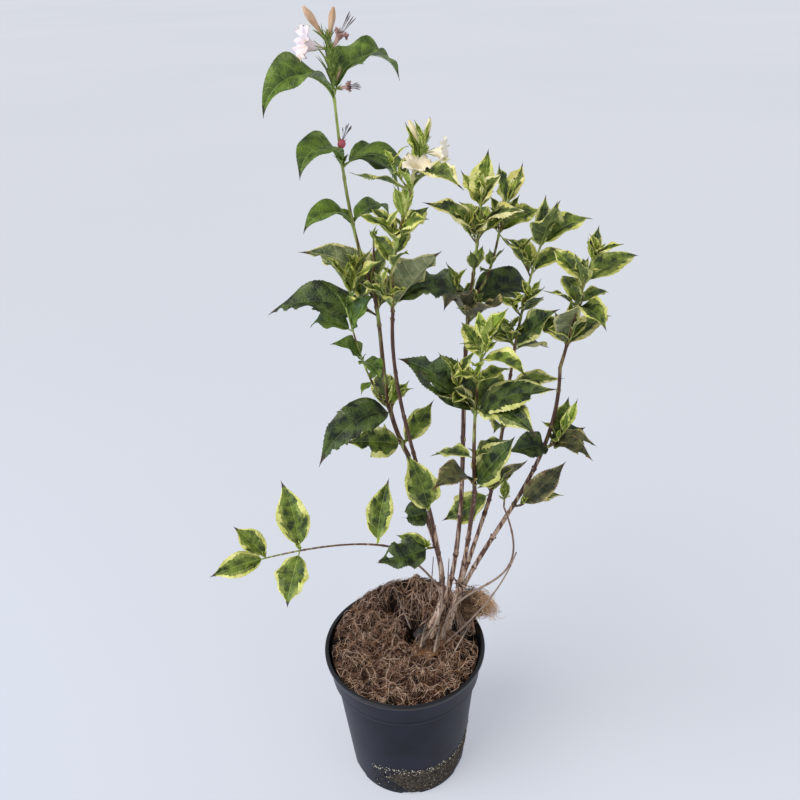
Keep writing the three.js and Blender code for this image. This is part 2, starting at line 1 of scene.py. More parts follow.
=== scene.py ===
"""A young variegated weigela in a round nursery pot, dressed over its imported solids.

Lengths are in millimetres until a mesh is made, which puts them in metres. Bearings are degrees
counter-clockwise seen from above, 0 along +X and 90 along +Y, and rises are degrees above level.
"""

import logging
import math
from dataclasses import dataclass, field, replace
from enum import Enum

import bpy
import numpy as np
from mathutils import Matrix, Vector


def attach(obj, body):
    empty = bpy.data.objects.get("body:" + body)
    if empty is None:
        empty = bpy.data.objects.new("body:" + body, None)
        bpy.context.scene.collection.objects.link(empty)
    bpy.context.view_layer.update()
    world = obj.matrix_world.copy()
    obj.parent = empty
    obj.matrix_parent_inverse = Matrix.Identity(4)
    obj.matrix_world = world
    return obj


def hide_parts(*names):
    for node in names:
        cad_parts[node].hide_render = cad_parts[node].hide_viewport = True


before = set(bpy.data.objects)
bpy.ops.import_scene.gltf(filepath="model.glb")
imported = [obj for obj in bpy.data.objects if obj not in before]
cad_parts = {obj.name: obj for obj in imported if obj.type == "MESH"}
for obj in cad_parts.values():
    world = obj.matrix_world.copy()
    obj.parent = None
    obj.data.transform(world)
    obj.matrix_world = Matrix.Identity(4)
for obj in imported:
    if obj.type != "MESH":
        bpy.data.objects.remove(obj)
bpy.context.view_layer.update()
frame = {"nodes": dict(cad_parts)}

MM = 0.001  # metres in a millimetre
BODY = "root"
MOST_FINISHES = 64  # more than any one piece has

Array = np.ndarray
Colour = tuple[int, int, int]
Point = tuple[float, float, float]
Way = tuple[Point, Point, Point, Point]
Bite = tuple[float, float, float]  # a hole or notch in a leaf: place along, place across, radius
Socket = bpy.types.NodeSocket
Material = bpy.types.Material
Piece = bpy.types.Object

log = logging.getLogger("weigela")


# ---- Surfaces worked out as whole arrays ----


@dataclass
class Skin:
    """A surface: points in millimetres, faces of four corners or of three and a -1, and for each
    face the number of its finish. Age runs from old bark at 0 to this week's growth at 1."""

    points: Array
    faces: Array
    finish: Array
    age: Array

    def unshared(self) -> "Skin":
        """The same surface with a point of its own for each finish that meets there.

        Returns:
            The surface, its points repeated where finishes meet.
        """
        used = self.faces >= 0
        keys = self.faces.astype(np.int64) * MOST_FINISHES + self.finish[:, None]
        kinds, places = np.unique(keys[used], return_inverse=True)
        faces = np.full_like(self.faces, -1)
        faces[used] = places
        owners = kinds // MOST_FINISHES
        return Skin(self.points[owners], faces, self.finish, self.age[owners])


def joined(skins: list[Skin]) -> Skin:
    """Several skins as one, with the numbers of their points moved along.

    Args:
        skins: the surfaces.

    Returns:
        One skin.
    """
    starts = np.cumsum([0] + [len(s.points) for s in skins[:-1]])
    faces = [np.where(s.faces < 0, -1, s.faces + start) for s, start in zip(skins, starts)]
    points, finish, age = (
        np.concatenate([getattr(s, kind) for s in skins]) for kind in ("points", "finish", "age")
    )
    return Skin(points, np.concatenate(faces), finish, age)


def skin_of(points: Array, faces: Array, finish: int | Array = 0, age: float | Array = 0.0) -> Skin:
    """A skin from points and faces, with one finish and age or an array of each.

    Args:
        points: the points, in rows of any shape.
        faces: four corners a row.
        finish: one finish, or one a face.
        age: one age, or one a point.

    Returns:
        The skin.
    """
    points = points.reshape(-1, 3)
    finishes = np.broadcast_to(np.asarray(finish, dtype=np.int64), (len(faces),)).copy()
    ages = np.broadcast_to(np.asarray(age, dtype=float).ravel(), (len(points),)).copy()
    return Skin(points, faces, finishes, ages)


def circle(count: int) -> Array:
    """The angles in radians of points spaced evenly round a circle."""
    return np.arange(count) * 2 * math.pi / count


def about_z(radius: Array | float, angle: Array, height: Array) -> Array:
    """The points at a radius, an angle in radians and a height about the Z axis."""
    return np.stack([radius * np.cos(angle), radius * np.sin(angle), height], axis=-1)


def across_and_up(out: Array, up: Array) -> Array:
    """The points of a profile, from how far out and how high each one is."""
    return np.stack([out, up], axis=1)


def grid_faces(rows: int, columns: int, closed: bool = False) -> Array:
    """The quads of a grid of points, row by row. They face along columns x rows.

    Args:
        rows: number of rows of points.
        columns: number of points in a row.
        closed: whether the last column joins the first.

    Returns:
        An array of four point numbers a quad.
    """
    row = np.arange(rows - 1)[:, None]
    column = np.arange(columns if closed else columns - 1)[None, :]
    after = (column + 1) % columns
    corners = [row * columns + column, row * columns + after]
    corners += [(row + 1) * columns + after, (row + 1) * columns + column]
    return np.stack(corners, axis=-1).reshape(-1, 4)


def capped_faces(rows: int, columns: int) -> Array:
    """The faces of a closed tube: its wall, and a fan of triangles over each end ring.

    Args:
        rows: number of rings of points.
        columns: points round a ring.

    Returns:
        Four point numbers a face, the last of them -1 in a triangle.
    """
    spokes = np.arange(1, columns - 1)
    hub = np.zeros_like(spokes)
    none = np.full_like(spokes, -1)
    last = (rows - 1) * columns
    start = np.stack([hub, spokes + 1, spokes, none], axis=-1)
    end = np.stack([hub + last, spokes + last, spokes + 1 + last, none], axis=-1)
    return np.concatenate([grid_faces(rows, columns, closed=True), start, end])


def unit(vectors: Array) -> Array:
    """Vectors along the last axis, each brought to length one."""
    return vectors / np.maximum(np.linalg.norm(vectors, axis=-1, keepdims=True), 1e-9)


def tubes(
    paths: Array, radii: Array, sides: int, relief: Array | None = None, finish: Array | int = 0,
    age: Array | float = 0.0,
) -> Skin:
    """Closed tubes round many paths at once.

    A ring's point is path + radius * relief * (cos a * side + sin a * front), where side lies
    across the path and front across both.

    Args:
        paths: the centre lines, as (tubes, steps, 3).
        radii: the radius at each step, as (tubes, steps).
        sides: points round a ring.
        relief: a factor on the radius, as (tubes, steps, sides), or none.
        finish: one finish, or one a tube.
        age: one age, or one a step, as (tubes, steps).

    Returns:
        One skin of all the tubes.
    """
    count, steps, _ = paths.shape
    tangents = unit(np.gradient(paths, axis=1))
    chords = np.abs(paths[:, -1] - paths[:, 0])
    reference = np.eye(3)[np.argmin(chords, axis=1)][:, None, :]
    side = unit(np.cross(tangents, reference))
    front = np.cross(tangents, side)
    angles = circle(sides)
    ring = np.cos(angles)[:, None] * side[:, :, None, :] + np.sin(angles)[:, None] * front[:, :, None, :]
    spread = radii[:, :, None] * (np.ones(sides) if relief is None else relief)
    points = paths[:, :, None, :] + ring * spread[..., None]
    one = capped_faces(steps, sides)
    shift = (np.arange(count) * steps * sides)[:, None, None]
    faces = np.where(one < 0, -1, one + shift).reshape(-1, 4)
    ages = np.broadcast_to(np.asarray(age, dtype=float), (count, steps)).repeat(sides, axis=1)
    kinds = np.broadcast_to(np.asarray(finish), (count,)).repeat(len(one))
    return skin_of(points, faces, kinds, ages)


def revolved(radii: Array, heights: Array, sides: int, finish: Array | int = 0) -> Skin:
    """A profile turned about the Z axis, from the middle of its underside round to its end.

    Args:
        radii: the profile's radii, as (steps,) or (steps, sides).
        heights: its heights, as (steps,) or (steps, sides).
        sides: points round a ring.
        finish: one finish, or one a face.

    Returns:
        A skin with a fan over each end.
    """
    out = np.broadcast_to(radii if radii.ndim == 2 else radii[:, None], (len(radii), sides))
    up = np.broadcast_to(heights if heights.ndim == 2 else heights[:, None], out.shape)
    return skin_of(about_z(out, circle(sides), up), capped_faces(len(radii), sides), finish)


def aimed(points: Array, direction: Array, root: Array) -> Array:
    """Points drawn about +Z, turned so that +Z lies along a direction, and moved to a root."""
    turn = Vector((0, 0, 1)).rotation_difference(Vector(direction)).to_matrix()
    return points @ np.array(turn).T + root


def heading(bearing: float, rise: float) -> Array:
    """The unit vector with a bearing and a rise.

    Args:
        bearing: degrees from +X.
        rise: degrees above level.

    Returns:
        The vector.
    """
    flat = math.cos(math.radians(rise))
    across = math.radians(bearing)
    return np.array([flat * math.cos(across), flat * math.sin(across), math.sin(math.radians(rise))])


def smooth(low: float, high: float, value: Array | float) -> Array:
    """0 below low, 1 above high, and between them 3 x^2 - 2 x^3 of the share x gone."""
    share = np.clip((value - low) / (high - low), 0, 1)
    return share * share * (3 - 2 * share)


def bell(value: Array, width: float) -> Array:
    """A bell curve of height one: e to the minus (value / width) squared."""
    return np.exp(-((value / width) ** 2))


def bezier(way: Way, t: Array) -> Array:
    """Points of a cubic curve: its four points weighed by the Bernstein polynomials of t.

    Args:
        way: the four points.
        t: shares of the way along, of any shape.

    Returns:
        Points, with one more axis than t.
    """
    a, b, c, d = (np.array(p, dtype=float) for p in way)
    t = np.asarray(t, dtype=float)[..., None]
    return a * (1 - t) ** 3 + 3 * b * t * (1 - t) ** 2 + 3 * c * t**2 * (1 - t) + d * t**3


class Ripple:
    """Smooth roughness in space: sine waves in seeded directions, each as high as it is long."""

    def __init__(self, seed: int, shortest: float, longest: float, count: int = 14) -> None:
        """Draws the waves.

        Args:
            seed: number that the directions and phases follow from.
            shortest: shortest wavelength in millimetres.
            longest: longest wavelength in millimetres.
            count: number of waves.
        """
        rng = np.random.default_rng(seed)
        lengths = np.geomspace(shortest, longest, count)
        self.waves = unit(rng.normal(size=(count, 3))) * (2 * math.pi / lengths)[:, None]
        self.weights = 2 * lengths / lengths.sum()
        self.phases = rng.uniform(0, 2 * math.pi, count)

    def __call__(self, points: Array) -> Array:
        """The sum of weight * sin(wave . point + phase) at each point, mostly within 1."""
        return np.sin(points @ self.waves.T + self.phases) @ self.weights


def make_piece(name: str, skin: Skin, finishes: list[Material], flat: bool = False) -> Piece:
    """A Blender object in metres from a skin, with its finishes in its material slots.

    Args:
        name: the piece's name.
        skin: the surface.
        finishes: the materials that the skin's finish numbers stand for.
        flat: whether the faces are shaded flat.

    Returns:
        The object, at the origin, with its place in its mesh.
    """
    skin = skin.unshared() if len(finishes) > 1 else skin
    used = skin.faces >= 0
    corners = used.sum(axis=1)
    mesh = bpy.data.meshes.new(name)
    mesh.vertices.add(len(skin.points))
    mesh.vertices.foreach_set("co", (skin.points * MM).astype(np.float32).ravel())
    mesh.loops.add(int(corners.sum()))
    mesh.loops.foreach_set("vertex_index", skin.faces[used].astype(np.int32))
    mesh.polygons.add(len(skin.faces))
    starts = np.concatenate([[0], np.cumsum(corners)[:-1]])
    mesh.polygons.foreach_set("loop_start", starts.astype(np.int32))
    mesh.polygons.foreach_set("material_index", skin.finish.astype(np.int32))
    ages = mesh.attributes.new("age", "FLOAT", "POINT")
    ages.data.foreach_set("value", skin.age.astype(np.float32))
    mesh.update(calc_edges=True)
    (mesh.shade_flat if flat else mesh.shade_smooth)()
    for finish in finishes:
        mesh.materials.append(finish)
    piece = bpy.data.objects.new(name, mesh)
    bpy.context.scene.collection.objects.link(piece)
    return piece


def dress(piece: Piece, slot: str, *nodes: str) -> Piece:
    """Makes a piece ride on the plant's one body and stand for its nodes.

    Args:
        piece: the object.
        slot: not used.
        nodes: the solids that the piece replaces.

    Returns:
        The piece.
    """
    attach(piece, BODY)
    if nodes:
        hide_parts(*nodes)
    return piece


# ---- Finishes ----


def linear(colour: Colour) -> tuple[float, float, float, float]:
    """A colour of bytes, as seen on a screen, as the linear colour that a shader takes.

    Args:
        colour: red, green and blue up to 255.

    Returns:
        Red, green, blue and an alpha of one.
    """
    share = np.array(colour) / 255
    light = np.where(share <= 0.04045, share / 12.92, ((share + 0.055) / 1.055) ** 2.4)
    return (*(float(v) for v in light), 1.0)


class Nodes:
    """A node tree in the making, with short calls that place nodes and feed their inputs."""

    tree: bpy.types.NodeTree

    def feed(self, target: Socket, value: object) -> None:
        """Links an output to an input, or sets the input to a number, a vector or a colour.

        Args:
            target: the input.
            value: an output, or what to set.
        """
        if isinstance(value, Socket):
            self.tree.links.new(value, target)
        else:
            target.default_value = value

    def node(self, kind: str, feeds: dict[str | int, object], **settings: object) -> bpy.types.Node:
        """A new node.

        Args:
            kind: its type.
            feeds: what each input takes, by the input's name or number.
            settings: its properties, which are set before its inputs are fed.

        Returns:
            The node.
        """
        made = self.tree.nodes.new(kind)
        for label, value in settings.items():
            setattr(made, label, value)
        for label, value in feeds.items():
            self.feed(made.inputs[label], value)
        return made


class Recipe(Nodes):
    """A shared shader node group in the making, with named inputs and one output."""

    def __init__(self, name: str, inputs: dict[str, str], output: tuple[str, str]) -> None:
        """Makes the group with its sockets.

        Args:
            name: the group's name.
            inputs: name and socket type of each input.
            output: name and socket type of the output.
        """
        self.tree = bpy.data.node_groups.new(name, "ShaderNodeTree")
        sockets = [(*item, "INPUT") for item in inputs.items()] + [(*output, "OUTPUT")]
        for label, kind, way in sockets:
            self.tree.interface.new_socket(name=label, in_out=way, socket_type=kind)
        self.given = self.tree.nodes.new("NodeGroupInput").outputs
        self.result = self.tree.nodes.new("NodeGroupOutput").inputs[0]

    def done(self, value: Socket) -> bpy.types.NodeTree:
        """The group, once its output is fed."""
        self.feed(self.result, value)
        return self.tree

    def pulled(self, stretch: Socket | Point) -> Socket:
        """The group's vector, each of its axes multiplied by that of a stretch."""
        feeds = {0: self.given["Vector"], 1: stretch}
        return self.node("ShaderNodeVectorMath", feeds, operation="MULTIPLY").outputs[0]

    def noise(self, vector: Socket) -> Socket:
        """Noise at a vector, at the group's own scale."""
        feeds = {"Detail": 4.0, "Vector": vector, "Scale": self.given["Scale"]}
        return self.node("ShaderNodeTexNoise", feeds).outputs["Fac"]

    def wander(self, vector: Socket, amount: Socket, middle: Socket | float) -> Socket:
        """A value that noise moves to and fro: middle + amount * (noise - 1/2), from 0 to 1.

        Args:
            vector: where the noise is read.
            amount: how far it moves the value.
            middle: the value in the middle of its range.

        Returns:
            The moved value.
        """
        centred = self.node("ShaderNodeMath", {0: self.noise(vector), 1: 0.5}, operation="SUBTRACT")
        feeds = {0: centred.outputs[0], 1: amount, 2: middle}
        return self.node("ShaderNodeMath", feeds, operation="MULTIPLY_ADD", use_clamp=True).outputs[0]


COLOUR = "NodeSocketColor"
NUMBER = "NodeSocketFloat"
PLACE = "NodeSocketVector"


def patchy_colour() -> bpy.types.NodeTree:
    """Two colours mixed in soft patches by noise: Light where the noise is high, Dark where low.

    Returns:
        The group.
    """
    inputs = {"Vector": PLACE, "Light": COLOUR, "Dark": COLOUR, "Scale": NUMBER, "Contrast": NUMBER}
    recipe = Recipe("patchy_colour", inputs, ("Colour", COLOUR))
    given = recipe.given
    share = recipe.wander(given["Vector"], given["Contrast"], 0.5)
    feeds = {"Factor": share, "A": given["Dark"], "B": given["Light"]}
    return recipe.done(recipe.node("ShaderNodeMix", feeds, data_type="RGBA").outputs["Result"])


def grain_height() -> bpy.types.NodeTree:
    """The height of a fine grain: noise along a stretched vector.

    Returns:
        The group.
    """
    inputs = {"Vector": PLACE, "Scale": NUMBER, "Stretch": PLACE}
    recipe = Recipe("grain_height", inputs, ("Height", NUMBER))
    return recipe.done(recipe.noise(recipe.pulled(recipe.given["Stretch"])))


def leaf_network() -> bpy.types.NodeTree:
    """The blistered net between a leaf's veins: the distance to the edges of cells of noise.

    Returns:
        The group.
    """
    recipe = Recipe("leaf_network", {"Vector": PLACE, "Scale": NUMBER}, ("Height", NUMBER))
    feeds = {label: recipe.given[label] for label in ("Vector", "Scale")}
    cells = recipe.node("ShaderNodeTexVoronoi", feeds, feature="DISTANCE_TO_EDGE")
    feeds = {"From Max": 0.35, "Value": cells.outputs["Distance"]}
    level = recipe.node("ShaderNodeMapRange", feeds, interpolation_type="SMOOTHSTEP")
    return recipe.done(level.outputs["Result"])


def age_streaks() -> bpy.types.NodeTree:
    """The age of the bark, moved to and fro by streaks that run up the stem.

    Returns:
        The group.
    """
    inputs = {"Vector": PLACE, "Age": NUMBER, "Scale": NUMBER, "Amount": NUMBER}
    recipe = Recipe("age_streaks", inputs, ("Age", NUMBER))
    streaked = recipe.pulled((1.0, 1.0, 0.12))
    return recipe.done(recipe.wander(streaked, recipe.given["Amount"], recipe.given["Age"]))


GROUPS = {make.__name__: make() for make in (patchy_colour, grain_height, leaf_network, age_streaks)}


class Dresser(Nodes):
    """One material in the making: a Principled shader and what feeds it."""

    def __init__(self, name: str, roughness: float, specular: float = 0.5) -> None:
        """Starts a material with a Principled shader.

        Args:
            name: the material's name.
            roughness: its roughness.
            specular: its specular level.
        """
        self.material = bpy.data.materials.new(name)
        self.material.use_nodes = True
        self.tree = self.material.node_tree
        self.shader = self.tree.nodes["Principled BSDF"].inputs
        self.feed(self.shader["Roughness"], roughness)
        self.feed(self.shader["Specular IOR Level"], specular)
        self.place = self.tree.nodes.new("ShaderNodeTexCoord").outputs["Object"]

    def group(self, name: str, **feeds: object) -> Socket:
        """The output of a shared group that reads the piece's place and takes numbers or links."""
        feeds["Vector"] = self.place
        return self.node("ShaderNodeGroup", feeds, node_tree=GROUPS[name]).outputs[0]

    def bump(self, height: Socket, depth: float, strength: float) -> None:
        """Feeds a height in millimetres of depth to the shader's normal."""
        feeds = {"Strength": strength, "Distance": depth * MM, "Height": height}
        self.feed(self.shader["Normal"], self.node("ShaderNodeBump", feeds).outputs["Normal"])

    def patches(self, light: Colour, dark: Colour, scale: float, contrast: float) -> Socket:
        """Gives the shader two colours in soft patches.

        Args:
            light: the colour where the noise is high.
            dark: the colour where it is low.
            scale: how many patches there are to a metre.
            contrast: how hard the step from one to the other is.

        Returns:
            The mixed colour.
        """
        ends = {"Light": linear(light), "Dark": linear(dark)}
        mixed = self.group("patchy_colour", Scale=scale, Contrast=contrast, **ends)
        self.feed(self.shader["Base Color"], mixed)
        return mixed


@dataclass(frozen=True)
class PatchyFinish:
    """A matt or satin surface of two colours in soft patches, with a fine grain."""

    name: str
    light: Colour
    dark: Colour
    patches: float = 60.0
    contrast: float = 2.0
    roughness: float = 0.6
    specular: float = 0.5
    grain: float = 900.0
    depth: float = 0.1
    strength: float = 0.4
    stretch: Point = (1.0, 1.0, 1.0)
    glow: float = 0.0

    def material(self) -> Material:
        """The finish as a material.

        Returns:
            The material.
        """
        made = Dresser(self.name, self.roughness, self.specular)
        mixed = made.patches(self.light, self.dark, self.patches, self.contrast)
        if self.glow:
            made.feed(made.shader["Emission Color"], mixed)
            made.feed(made.shader["Emission Strength"], self.glow)
        grain = made.group("grain_height", Scale=self.grain, Stretch=self.stretch)
        made.bump(grain, self.depth, self.strength)
        return made.material


@dataclass(frozen=True)
class BarkFinish:
    """Bark whose colour follows its age, from the grey-tan foot to green young growth."""

    name: str
    stops: tuple[tuple[float, Colour], ...]
    roughness: float = 0.62
    streaks: float = 420.0
    wander: float = 0.35
    grain: float = 700.0
    stretch: Point = (1.0, 1.0, 0.15)
    depth: float = 0.5
    strength: float = 0.7

    def material(self) -> Material:
        """The finish as a material.

        Returns:
            The material.
        """
        made = Dresser(self.name, self.roughness)
        age = made.node("ShaderNodeAttribute", {}, attribute_name="age").outputs["Fac"]
        streaks = made.group("age_streaks", Age=age, Scale=self.streaks, Amount=self.wander)
        ramp = made.node("ShaderNodeValToRGB", {"Fac": streaks})
        stops = ramp.color_ramp.elements
        while len(stops) < len(self.stops):
            stops.new(1.0)
        for stop, (place, colour) in zip(stops, self.stops):
            stop.position = place
            stop.color = linear(colour)
        made.feed(made.shader["Base Color"], ramp.outputs["Color"])
        grain = made.group("grain_height", Scale=self.grain, Stretch=self.stretch)
        made.bump(grain, self.depth, self.strength)
        return made.material


class Part(Enum):
    """The parts of a leaf that have a finish of their own, in the order of its slots."""

    BLADE, HALO, MARGIN, UNDER, UNDER_MARGIN, VEIN, TIP, UNDER_VEIN = range(8)


def blend(first: Colour, second: Colour, share: float) -> Colour:
    """The colour that lies a share of the way from the first to the second."""
    return tuple(round(a + (b - a) * share) for a, b in zip(first, second))


@dataclass(frozen=True)
class LeafLook:
    """One age or kind of leaf: light and dark colours for its green middle and its margin, and one
    for its veins, for the dry tip and for the grey of its back. The rest are mixes of these.

    `middle` is the share of the half width that is green, `jag` how far its edge wanders, `fold`
    the slope in degrees of either half, and `curl` how far the tip lifts, as a share of the length.
    """

    name: str
    blade: tuple[Colour, Colour]
    margin: tuple[Colour, Colour]
    vein: Colour
    middle: float = 0.72
    jag: float = 0.2
    tip: Colour = (74, 58, 44)
    back: Colour = (150, 158, 112)
    roughness: float = 0.5
    contrast: float = 5.4
    fold: float = 24.0
    curl: float = 0.035
    specular: float = 0.34
    patches: float = 85.0
    net: float = 290.0
    grain: float = 900.0
    depth: float = 0.4
    strength: float = 0.9

    def shades(self) -> dict[Part, tuple[Colour, Colour]]:
        """The light and the dark colour of each part.

        Returns:
            A light and a dark colour by part.
        """
        light, dark = self.blade
        pale, dull = self.margin
        return {
            Part.BLADE: self.blade,
            Part.HALO: (blend(light, pale, 0.36), blend(dark, dull, 0.36)),
            Part.MARGIN: self.margin,
            Part.UNDER: (blend(light, self.back, 0.5), blend(dark, self.back, 0.3)),
            Part.UNDER_MARGIN: (blend(pale, self.back, 0.2), blend(dull, self.back, 0.3)),
            Part.VEIN: (blend(self.vein, light, 0.45), blend(self.vein, dark, 0.55)),
            Part.TIP: (self.tip, blend(self.tip, (32, 30, 26), 0.6)),
            Part.UNDER_VEIN: (blend(self.vein, self.back, 0.3), blend(self.vein, light, 0.4)),
        }

    def materials(self) -> list[Material]:
        """The look's materials in the order of Part: soft patches of colour over a blistered net
        of small veins, which a vein and a dry tip don't have.

        Returns:
            One material a part.
        """
        made = []
        for part, (light, dark) in self.shades().items():
            name = f"leaf_{self.name}_{part.name.lower()}"
            dresser = Dresser(name, self.roughness, self.specular)
            dresser.patches(light, dark, self.patches, self.contrast)
            if part in (Part.VEIN, Part.TIP, Part.UNDER_VEIN):
                relief = dresser.group("grain_height", Scale=self.grain, Stretch=(1.0, 1.0, 1.0))
            else:
                relief = dresser.group("leaf_network", Scale=self.net)
            dresser.bump(relief, self.depth, self.strength)
            made.append(dresser.material)
        return made


class Tint(Enum):
    """The kinds of leaf on the plant."""

    DEEP = LeafLook(
        "deep", ((80, 98, 38), (27, 39, 13)), ((218, 215, 140), (182, 184, 92)), (134, 150, 88), 0.79,
    )
    MID = LeafLook(
        "mid", ((108, 126, 42), (43, 58, 16)), ((222, 219, 134), (187, 190, 86)), (156, 170, 90), 0.74,
    )
    BRIGHT = LeafLook(
        "bright", ((118, 137, 42), (45, 62, 16)), ((229, 225, 142), (199, 200, 88)), (170, 182, 92), 0.63,
        0.28,
    )
    CREAM = LeafLook(
        "cream", ((104, 120, 42), (38, 52, 16)), ((241, 233, 174), (215, 206, 110)), (174, 180, 104), 0.52,
        0.34,
    )
    YOUNG = LeafLook(
        "young", ((146, 170, 50), (80, 106, 24)), ((229, 230, 140), (200, 207, 88)), (190, 204, 106), 0.62,
        0.24, back=(172, 184, 104),
    )
    BRONZE = LeafLook(
        "bronze", ((98, 98, 56), (50, 54, 32)), ((196, 178, 118), (124, 100, 68)), (136, 128, 88), 0.86,
        0.18, (98, 64, 48), (150, 142, 116),
    )
    GREY = LeafLook(
        "grey", ((118, 126, 78), (72, 84, 46)), ((220, 212, 150), (186, 180, 104)), (186, 184, 138), 0.82,
        0.16, (98, 78, 62), (166, 166, 126),
    )
    PLAIN = LeafLook(
        "plain", ((112, 138, 46), (42, 64, 16)), ((116, 142, 50), (48, 72, 20)), (150, 172, 88), 0.95, 0.03,
        (62, 66, 34), (160, 172, 112), 0.4, 3.0, 27.0, -0.05,
    )
    DARK = LeafLook(
        "dark", ((72, 90, 36), (24, 35, 13)), ((88, 104, 44), (34, 48, 18)), (110, 126, 74), 0.92, 0.05,
        (78, 60, 46), (138, 138, 110),
    )


DEEP, MID, BRIGHT, CREAM, YOUNG, BRONZE, GREY, PLAIN, DARK = Tint

POT_PLASTIC = PatchyFinish(
    "slate_plastic", (23, 28, 45), (9, 12, 24), 22, 2.8, 0.42, 0.16, 260, 0.12, 0.3, (1.0, 1.0, 0.2),
)
LIP_PLASTIC = PatchyFinish(
    "dark_lip_plastic", (22, 23, 27), (12, 13, 16), 30, 2.0, 0.28, 0.5, 500, 0.05, 0.2,
)
# The mix body is near black: partly the coir's own dark brown and partly painted shade for the gaps between
# strands, the pits and the band inside the rim.
MIX_AND_PAINTED_SHADE = PatchyFinish("dark_mix_and_painted_shade", (28, 18, 13), (9, 5, 4), 120, 3.0, 0.95, 0.2, 900, 0.8, 0.9)
GRIT = PatchyFinish("stuck_grit", (88, 78, 66), (36, 33, 31), 300, 4.0, 0.95, 0.2, 1500, 0.4, 0.9)
PERLITE = PatchyFinish("perlite", (230, 224, 208), (184, 174, 154), 400, 2.0, 0.85, 0.3, 2000, 0.2, 0.6)

FIBRES = tuple(
    PatchyFinish(name, light, dark, 80, 2.0, 0.8, 0.3, 1500, 0.1, 0.4)
    for name, light, dark in (
        ("coir_pale", (246, 216, 190), (206, 170, 144)),
        ("coir_tan", (178, 136, 106), (130, 93, 71)),
        ("coir_brown", (96, 61, 50), (54, 33, 27)),
        ("coir_rust", (182, 136, 84), (134, 94, 56)),
        # The darkest strands are partly dark coir and partly painted shade among the strands.
        ("coir_dark_and_painted_shade", (38, 23, 18), (19, 10, 8)),
        ("fibre_gold", (246, 212, 170), (214, 166, 122)),
        ("fibre_brown", (158, 124, 98), (98, 72, 56)),
        ("fibre_dark", (74, 51, 40), (40, 26, 20)),
    )
)
STRANDS, TUFT_FIBRES = FIBRES[:5], FIBRES[5:]

CANE_BARK = BarkFinish(
    "cane_bark",
    (
        (0.0, (62, 45, 36)), (0.05, (226, 202, 178)), (0.12, (212, 184, 158)), (0.17, (104, 76, 60)),
        (0.24, (206, 174, 144)), (0.35, (94, 62, 48)), (0.46, (86, 54, 38)), (0.58, (70, 40, 29)),
        (0.68, (98, 64, 42)), (0.78, (128, 112, 64)), (0.88, (144, 158, 78)), (1.0, (176, 190, 98)),
    ),
    wander=1.3, streaks=300.0,
)
CROWN_BARK = BarkFinish(
    "crown_bark",
    ((0.0, (26, 19, 15)), (0.3, (50, 38, 30)), (1.0, (120, 96, 78))),
)
TWIG_BARK = BarkFinish(
    "twig_bark",
    (
        (0.0, (104, 86, 74)), (0.3, (158, 138, 118)), (0.55, (112, 84, 70)), (0.8, (146, 118, 92)),
        (1.0, (156, 146, 94)),
    ),
    wander=0.7,
)
DEAD_WOOD = BarkFinish(
    "dead_wood",
    ((0.0, (208, 192, 170)), (0.4, (160, 140, 120)), (0.7, (108, 94, 82)), (1.0, (84, 72, 64))),
    wander=0.8,
)
PETAL_BLUSH = PatchyFinish(
    "petal_blush", (250, 242, 240), (238, 206, 206), 90, 3.0, 0.55, 0.4, 500, 0.15, 0.4,
)
PETAL_CREAM = PatchyFinish(
    "petal_cream", (250, 244, 226), (236, 220, 186), 90, 3.0, 0.6, 0.4, 500, 0.2, 0.5,
)
BUD_PEACH = PatchyFinish("bud_peach", (222, 190, 156), (190, 150, 112), 110, 3.0, 0.5, 0.4, 700, 0.1, 0.4)
BUD_CREAM = PatchyFinish("bud_cream", (244, 232, 188), (222, 202, 150), 110, 3.0, 0.5, 0.4, 700, 0.1, 0.4)
CALYX = PatchyFinish("calyx_green", (150, 168, 80), (100, 122, 52), 120, 3.0, 0.5, 0.4, 700, 0.1, 0.4)
ANTHER, PALE_STAMEN, ROSE_CALYX = (
    PatchyFinish(name, light, dark, 300, 3.0, 0.6, 0.3, 900, 0.05, 0.3)
    for name, light, dark in (
        ("stamen", (120, 100, 96), (62, 52, 58)),
        ("pale_stamen", (244, 238, 214), (216, 198, 158)),
        ("rose_calyx", (222, 112, 118), (176, 84, 108)),
    )
)
WITHERED = PatchyFinish(
    "withered_bloom", (214, 178, 166), (150, 108, 100), 160, 3.0, 0.8, 0.3, 900, 0.2, 0.6,
)


# ---- The plant's own measures ----


@dataclass(frozen=True)
class Leaf:
    """One leaf: its place along the shoot, compass bearing, rise of the straight line from stem
    to tip, that line's length, how far the blade arches, its turn about that line, its width as a
    share of its length, its tint and bites where it has its own, and how far the blade rolls about
    its own midrib."""

    at: float
    bearing: float
    rise: float
    reach: float
    arch: float = 45
    turn: float = 0
    wide: float = 0.44
    tint: Tint | None = None
    bites: tuple[Bite, ...] = ()
    roll: float = 0.0


@dataclass(frozen=True)
class Bloom:
    """A flower or bud on a shoot: kind, place, bearing, rise and length."""

    kind: str
    at: float
    bearing: float
    rise: float
    length: float


@dataclass(frozen=True)
class Shoot:
    """A leafy shoot: its curve, its radius at foot and tip, its leaves and its blooms."""

    way: Way
    radii: tuple[float, float]
    leaves: tuple[Leaf, ...]
    blooms: tuple[Bloom, ...] = ()


@dataclass(frozen=True)
class Mass:
    """One mass of foliage: its node and its shoots.

    `ages` are the bark's age at the foot and the tip, `low` and `high` the tints of the leaves
    below and above `change` of the way up, and `sprigs` the share of leaves with a small side
    shoot above them.
    """

    name: str
    ages: tuple[float, float]
    low: Tint
    high: Tint
    change: float
    sprigs: float
    shoots: tuple[Shoot, ...]


@dataclass(frozen=True)
class Cane:
    """A cane or twig from the crown to where its leaves begin."""

    way: Way
    radii: tuple[float, float]
    ages: tuple[float, float]


